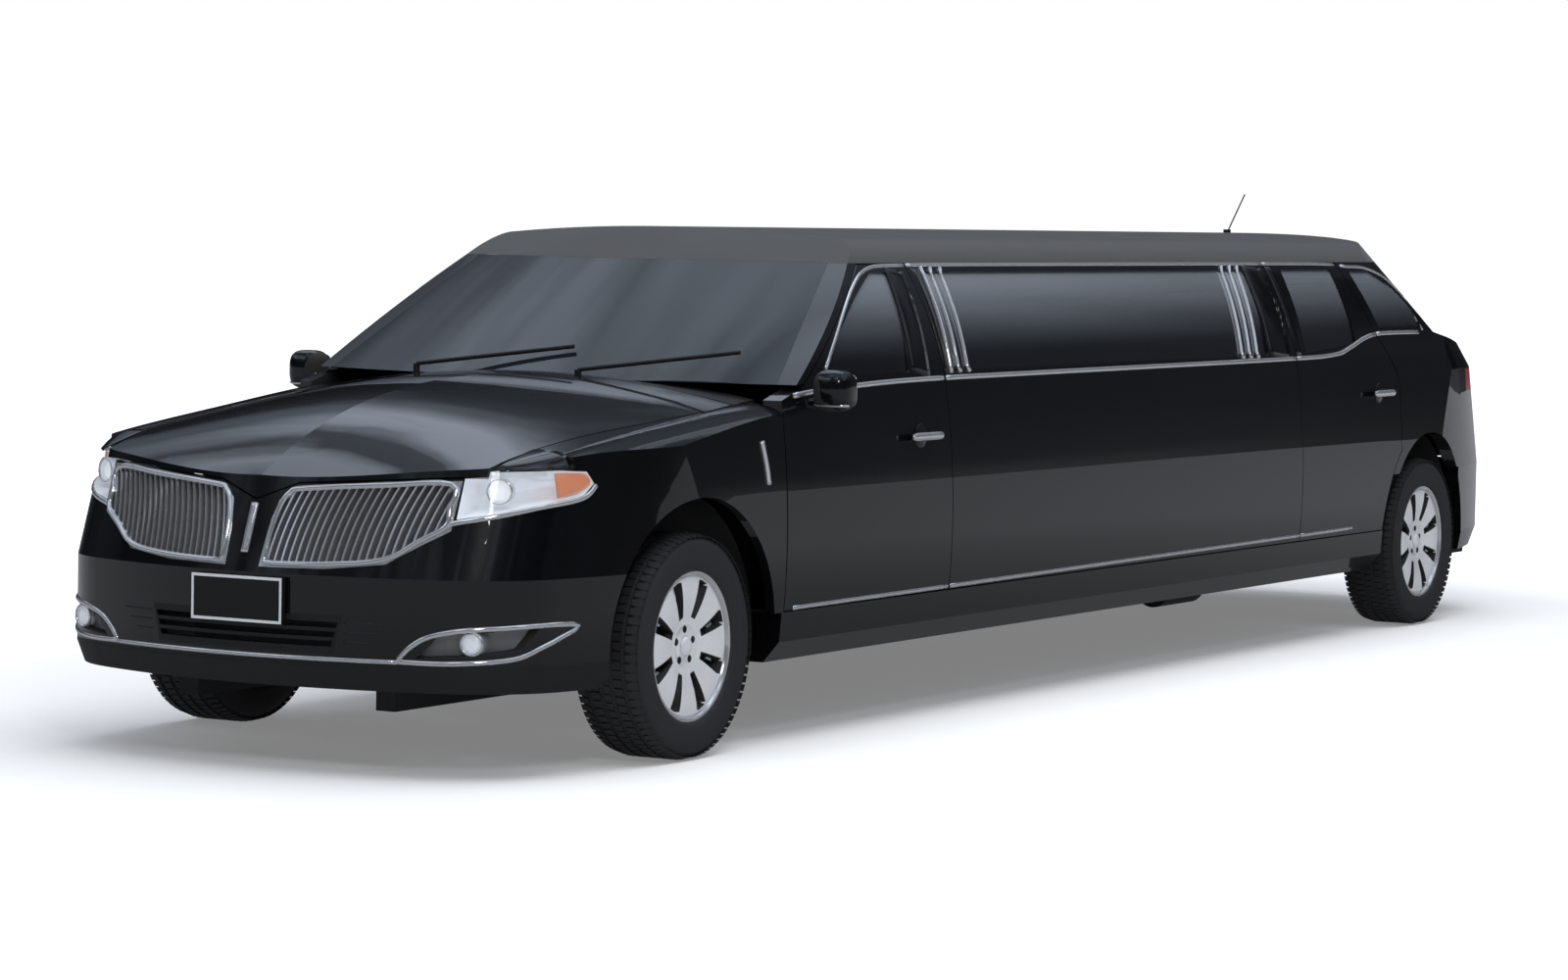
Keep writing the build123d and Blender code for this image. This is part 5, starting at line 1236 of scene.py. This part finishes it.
@dataclass
class DoorFurniture:
    """Handles and mirrors."""

    skin: Skin
    shop: Workshop
    handle_half: float = 0.1065
    handle_half_z: float = 0.0138
    handle_reach: float = 0.0350
    handle_depth: float = 0.0140
    handles: tuple[tuple[str, float, float], ...] = (
        ("front_door", -1.440, 0.956), ("rear_door", -5.483, 0.996))
    recess_radius: float = 0.043
    handle_steps: int = 24
    handle_sides: int = 16
    mirror_middle: Point = (-0.696, 1.0265, 1.129)
    mirror_half: Point = (0.0558, 0.0652, 0.0668)

    def build(self) -> None:
        """Makes the furniture of every door."""
        for name, x, z in self.handles:
            self.handle(name, x, z)
        self.mirrors()

    def handle(self, name: str, x: float, z: float) -> None:
        """Covers one door's handle bar with bright metal, over a dark round recess.

        Args:
            name: the door's name.
            x: the handle's middle, ahead of the front axle.
            z: its height.
        """
        y = self.skin.flank([(fore(x), z - 0.03)])[0][0].y
        steps, sides, half_y = self.handle_steps, self.handle_sides, self.handle_depth / 2
        verts = []
        for step in range(steps + 1):
            share = 2 * step / steps - 1
            size = 0.62 + 0.38 * (1 - abs(share) ** 8) ** 0.5
            for a in (2 * math.pi * k / sides for k in range(sides)):
                verts.append(Vector((fore(x) + share * self.handle_half,
                                     y + self.handle_reach - half_y + half_y * math.cos(a) * size,
                                     z + self.handle_half_z * math.sin(a) * size)))
        faces = quads(steps + 1, sides)
        faces += [tuple(range(sides)), tuple(range(steps * sides, (steps + 1) * sides))]
        disc = [(-0.0005, 0.0), (0.0012, 0.0), (0.0012, self.recess_radius - 0.003),
                (-0.0005, self.recess_radius)]
        recess = shift(lathe(disc, 40), fore(x), y, z)
        make_sides(name + "_{side}_body", (f"{name}_handle", (verts, faces), self.shop[Finish.CHROME]),
                   (f"{name}_handle_recess", recess, self.shop[Finish.SATIN]))

    def mirrors(self) -> None:
        """Makes the rounded mirror housings, their glass and the bright strip below."""
        cx, cy, cz = fore(self.mirror_middle[0]), *self.mirror_middle[1:]
        hx, hy, hz = self.mirror_half
        verts, faces = cushion((cx - hx, cy - hy, cz - hz), (cx + hx, cy + hy, cz + hz), power=3.4, steps=20)
        shaped = []
        for x, y, z in verts:
            ahead = max(0.0, (x - cx) / hx)
            squeeze = 1 - 0.22 * ahead ** 2
            shaped.append((x, cy + (y - cy) * squeeze, cz + (z - cz) * squeeze))
        stem = cushion((cx - 0.020, 0.925, cz - 0.058), (cx + 0.025, cy - 0.01, cz - 0.026),
                       power=4.0, steps=8)
        glass = cushion((cx - hx - 0.0002, cy - hy * 0.84, cz - hz * 0.80),
                        (cx - hx + 0.004, cy + hy * 0.84, cz + hz * 0.80), power=5.0, steps=14)
        angles = np.linspace(-1.45, 1.45, 21)
        path = [Vector((cx + 0.008 + 0.034 * math.cos(a), cy + 0.061 * math.sin(a), cz - 0.046))
                for a in angles]
        normals = [Vector((math.cos(a), 0.5 * math.sin(a), -0.9)).normalized() for a in angles]
        strip = sweep(path, normals, band(0.010, 0.005))
        housing = join_parts([(shaped, faces), stem])
        titles = (("mirror_housing", housing, self.shop[Finish.PAINT]),
                  ("mirror_face", glass, self.shop[Finish.MIRROR]),
                  ("mirror_strip", strip, self.shop[Finish.CHROME]))
        pieces = make_sides(FRONT_DOOR, *titles)
        for piece, (side, _) in zip(pieces[::len(titles)], SIDES):
            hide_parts(f"mirror_{side}")


@dataclass
class Cabin:
    """The padded seats and benches."""

    shop: Workshop
    seat_y: float = 0.370
    seat_half: float = 0.245
    seat_front: float = -1.150
    seat_rear: float = -1.640
    pan: Pair = (0.330, 0.480)
    floor: float = 0.2925
    back_top: float = 1.120
    recline: float = -0.110
    back_thick: float = 0.110
    rest_half: float = 0.120
    bench_rear: float = -2.023
    bench_front: float = 0.560
    bench_places: int = 5
    bench_y: Pair = (-0.825, -0.330)
    bench_z: float = 0.520
    back_z: float = 1.030
    rear_bench: Point = (-2.563, -2.0238, 0.525)

    def pad(self, name: str, parts: list, node: str) -> None:
        """Makes one padded piece.

        Args:
            name: the piece's name.
            parts: its cushions.
            node: the frame's node that it stands for.
        """
        piece = make_piece(name, *join_parts(parts), self.shop[Finish.LEATHER])
        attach(piece, BODY)
        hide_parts(node)

    def build(self) -> None:
        """Makes the front seats and the saloon's benches."""
        front, rear = fore(self.seat_front), fore(self.seat_rear)
        parts = []
        for y in (self.seat_y, -self.seat_y):
            low, high = y - self.seat_half, y + self.seat_half
            top, back = self.back_top, rear + self.back_thick
            parts.append(cushion((rear, low, self.pan[0]), (front, high, self.pan[1]), channels=4))
            parts.append(cushion((rear, low, self.pan[1] - 0.07), (back, high, top), self.recline,
                                 channels=4))
            rest = rear + self.recline
            parts.append(cushion((rest, y - self.rest_half, top - 0.04),
                                 (rest + 0.095, y + self.rest_half, top + 0.17), power=4))
            parts.append(cushion((rear + 0.06, low + 0.06, self.floor),
                                 (front - 0.06, high - 0.06, 0.345), steps=6))
        self.pad("front_seat_pads", parts, "front_seats")
        low_y, high_y = self.bench_y
        length = (self.bench_front - self.bench_rear) / self.bench_places
        parts = []
        for index in range(self.bench_places):
            x0 = self.bench_rear + length * index
            parts.append(cushion((x0, low_y, 0.39), (x0 + length, high_y, self.bench_z), power=9))
            parts.append(cushion((x0, low_y, self.bench_z - 0.02),
                                 (x0 + length, low_y + 0.12, self.back_z), power=9))
        parts.append(cushion((self.bench_rear, low_y, self.floor), (self.bench_front, high_y - 0.03, 0.40),
                             power=20, steps=8))
        rear_x, front_x, half = self.rear_bench
        parts.append(cushion((rear_x, -half, 0.39), (front_x, half, self.bench_z), channels=4))
        parts.append(cushion((rear_x, -half, self.floor), (front_x, half, 0.40), power=20, steps=8))
        self.pad("saloon_bench_pads", parts, "saloon_seats")


# Stage
@dataclass
class Studio:
    """The pale floor, the light and the camera that match the photograph's view."""

    place: Point = (15.1352, 8.0777, 1.7064)
    yaw: float = -2.6266
    pitch: float = -0.0615
    roll: float = 0.0188
    lens: float = 104.77
    sensor: float = 36.0
    sky: tuple = ((0.0, (0.42, 0.42, 0.43, 1)), (0.495, (0.10, 0.10, 0.11, 1)),
                  (0.502, (0.024, 0.026, 0.030, 1)), (0.62, (0.026, 0.030, 0.038, 1)),
                  (0.70, (0.10, 0.12, 0.15, 1)), (0.77, (0.64, 0.72, 0.86, 1)),
                  (0.95, (0.84, 0.95, 1.12, 1)), (1.0, (0.30, 0.36, 0.46, 1)))
    floor_half: float = 60.0
    lights: tuple = (("above", (1.0, 2.0, 9.0), (0.0, 0.0, 0.0), (14.0, 8.0), 950.0),
                     ("ahead", (11.0, 7.0, 7.0), (-0.5, 0.85, 0.0), (2.0, 1.2), 160.0))

    def build(self) -> None:
        """Makes the camera, the world, the floor and the lamps."""
        scene = bpy.context.scene
        self.camera(scene)
        self.world(scene)
        self.floor()
        self.lamps()
        scene.view_settings.view_transform = "Standard"

    def camera(self, scene: Scene) -> None:
        """Sets the calibrated camera.

        Args:
            scene: the scene.
        """
        forward = Vector((math.cos(self.yaw) * math.cos(self.pitch),
                          math.sin(self.yaw) * math.cos(self.pitch), math.sin(self.pitch)))
        right = forward.cross(Vector((0, 0, 1))).normalized()
        up = right.cross(forward)
        side = right * math.cos(self.roll) + up * math.sin(self.roll)
        top = up * math.cos(self.roll) - right * math.sin(self.roll)
        data = bpy.data.cameras.new("view")
        data.lens = self.lens
        data.sensor_width = self.sensor
        data.clip_end = 200.0
        camera = bpy.data.objects.new("view", data)
        camera.matrix_world = Matrix((
            (side.x, top.x, -forward.x, self.place[0]), (side.y, top.y, -forward.y, self.place[1]),
            (side.z, top.z, -forward.z, self.place[2]), (0, 0, 0, 1)))
        scene.collection.objects.link(camera)
        scene.camera = camera

    def seen(self, tree: NodeTree) -> Node:
        """A node that is 1 for the camera's rays and for those through glass.

        Args:
            tree: the tree that it joins.

        Returns:
            The node.
        """
        path = add(tree, "ShaderNodeLightPath")
        seen = add(tree, "ShaderNodeMath", operation="MAXIMUM")
        wire(tree, (path, "Is Camera Ray", seen, 0), (path, "Is Transmission Ray", seen, 1))
        return seen

    def world(self, scene: Scene) -> None:
        """Makes a world that is white to the eye, and a clouded sky over dark land to reflections.

        Args:
            scene: the scene.
        """
        scene.world = bpy.data.worlds.new("sky")
        scene.world.use_nodes = True
        tree = scene.world.node_tree
        tree.nodes.clear()
        place, split = add(tree, "ShaderNodeTexCoord"), add(tree, "ShaderNodeSeparateXYZ")
        ramp = add(tree, "ShaderNodeValToRGB")
        steps = ramp.color_ramp.elements
        steps[0].color, steps[1].color = self.sky[0][1], self.sky[-1][1]
        for position, colour in self.sky[1:-1]:
            steps.new(position).color = colour
        lift = remap(tree, (-1.0, 1.0))
        cloud = add(tree, "ShaderNodeTexNoise", {"Scale": 3.2, "Detail": 5.0, "Distortion": 0.6})
        part = remap(tree, (0.44, 0.62), (0.12, 1.6))
        tint = add(tree, "ShaderNodeVectorMath", operation="SCALE")
        room = add(tree, "ShaderNodeBackground", {"Strength": 0.9})
        white = add(tree, "ShaderNodeBackground", {"Color": (1, 1, 1, 1)})
        mix, end = add(tree, "ShaderNodeMixShader"), add(tree, "ShaderNodeOutputWorld")
        wire(tree, (place, "Generated", split, "Vector"), (split, "Z", lift, "Value"),
             (lift, "Result", ramp, "Fac"), (place, "Generated", cloud, "Vector"),
             (cloud, "Fac", part, "Value"), (ramp, "Color", tint, 0), (part, "Result", tint, "Scale"),
             (tint, "Vector", room, "Color"), (self.seen(tree), "Value", mix, "Fac"),
             (room, "Background", mix, 1), (white, "Background", mix, 2), (mix, "Shader", end, "Surface"))

    def floor(self) -> None:
        """Lays a pale floor that keeps the car's shadow and is grey ground to reflections, with painted shade
        near the car in both.
        """
        material, shader = new_material("floor", {
            "Base Color": (0.80, 0.80, 0.80, 1), "Roughness": 0.9, "Specular IOR Level": 0.1})
        tree = material.node_tree
        path, place = add(tree, "ShaderNodeLightPath"), add(tree, "ShaderNodeTexCoord")
        squeeze = add(tree, "ShaderNodeVectorMath", {1: (0.55, 1.0, 0.0)}, operation="MULTIPLY")
        reach = add(tree, "ShaderNodeVectorMath", operation="LENGTH")
        # painted shade: to the eye the floor glows less near the car, which deepens its shadow there
        floor_shade_fade = remap(tree, (2.6, 4.6), (0.21, 1.0))
        # painted shadow: to reflections the ground glows less near the car
        reflected_shadow_fade = remap(tree, (1.3, 5.5), (0.14, 0.38))
        gate = add(tree, "ShaderNodeMath", operation="MULTIPLY")
        glow = add(tree, "ShaderNodeEmission")
        ground = add(tree, "ShaderNodeEmission", {"Color": (0.92, 0.94, 1.0, 1.0)})
        both, pick = add(tree, "ShaderNodeAddShader"), add(tree, "ShaderNodeMixShader")
        wire(tree, (place, "Object", squeeze, 0), (squeeze, "Vector", reach, 0),
             (reach, "Value", floor_shade_fade, "Value"), (reach, "Value", reflected_shadow_fade, "Value"),
             (self.seen(tree), "Value", gate, 0), (floor_shade_fade, "Result", gate, 1),
             (gate, "Value", glow, "Strength"), (reflected_shadow_fade, "Result", ground, "Strength"),
             (shader, "BSDF", both, 0), (glow, "Emission", both, 1), (path, "Is Glossy Ray", pick, "Fac"),
             (both, "Shader", pick, 1), (ground, "Emission", pick, 2),
             (pick, "Shader", tree.nodes["Material Output"], "Surface"))
        corners = [(x * self.floor_half, y * self.floor_half, 0)
                   for x, y in ((-1, -1), (1, -1), (1, 1), (-1, 1))]
        floor = make_piece("floor", corners, [(0, 1, 2, 3)], material, smooth=False, tidy=False)

    def lamps(self) -> None:
        """Hangs a broad soft lamp above the car and a smaller one ahead of it."""
        for name, place, turn, size, power in self.lights:
            data = bpy.data.lights.new(name, "AREA")
            data.shape = "RECTANGLE"
            data.size, data.size_y = size
            data.energy = power
            lamp = bpy.data.objects.new(name, data)
            lamp.visible_glossy = name != "above"
            lamp.location = place
            lamp.rotation_euler = turn
            bpy.context.scene.collection.objects.link(lamp)


# The car
def node_finish(slots: list[str]) -> Finish:
    """The finish of one of the frame's nodes.

    Args:
        slots: the names of the materials that it was packed with.

    Returns:
        The first finish whose slot one of them names, or paint.
    """
    for surface in SURFACES:
        if any(surface.slot in slot for slot in slots):
            return surface.finish
    return Finish.PAINT


@dataclass
class Car:
    """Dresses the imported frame."""

    frame: dict
    shop: Workshop

    def dress(self) -> None:
        """Gives each of the frame's nodes the finish of its record slot."""
        for name, node in self.frame["nodes"].items():
            finish = node_finish([m.name if m else "" for m in node.data.materials])
            node.data.materials.clear()
            node.data.materials.append(self.shop[finish])
            LOG.info("%s: %s", name, finish.value)

    def wheels(self) -> None:
        """Puts detailed wheels and tyres in the place of the frame's own."""
        tree = ring_tree()
        tyre, wheel = Tyre(), Wheel()
        for end, x in (("front", FRONT_AXLE_X), ("rear", REAR_AXLE_X)):
            for side, sign in SIDES:
                place, body = (x, sign * TRACK_HALF, WHEEL_Z), f"wheel_{end}_{side}_body"
                rubber = tyre.build(f"road_tyre_{end}_{side}", tree, self.shop[Finish.RUBBER], place, sign)
                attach(rubber, body)
                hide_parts(f"tyre_{end}_{side}")
                pieces = wheel.build(f"road_wheel_{end}_{side}", self.shop, place, sign)
                for piece in pieces:
                    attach(piece, body)
                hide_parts(f"wheel_{end}_{side}")


def main() -> None:
    """Builds the whole scene."""
    logging.basicConfig(level=logging.INFO, format="%(message)s")
    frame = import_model()
    shop = Workshop()
    shop.build()
    car = Car(frame, shop)
    car.dress()
    names = [n for n in frame["nodes"] if n.startswith(FLANK_STARTS) or n in FLANK_NODES]
    flank = Skin.of(frame["nodes"], [n for n in names if not n.endswith("_right")])
    nose = Skin.of(frame["nodes"], list(NOSE_NODES))
    car.wheels()
    Flank(flank, shop).build()
    front = Nose(nose, shop)
    front.build()
    front.plate()
    Lamps(frame["nodes"], nose, shop).build()
    DoorFurniture(flank, shop).build()
    Cabin(shop).build()
    Studio().build()


if __name__ == "__main__":
    main()
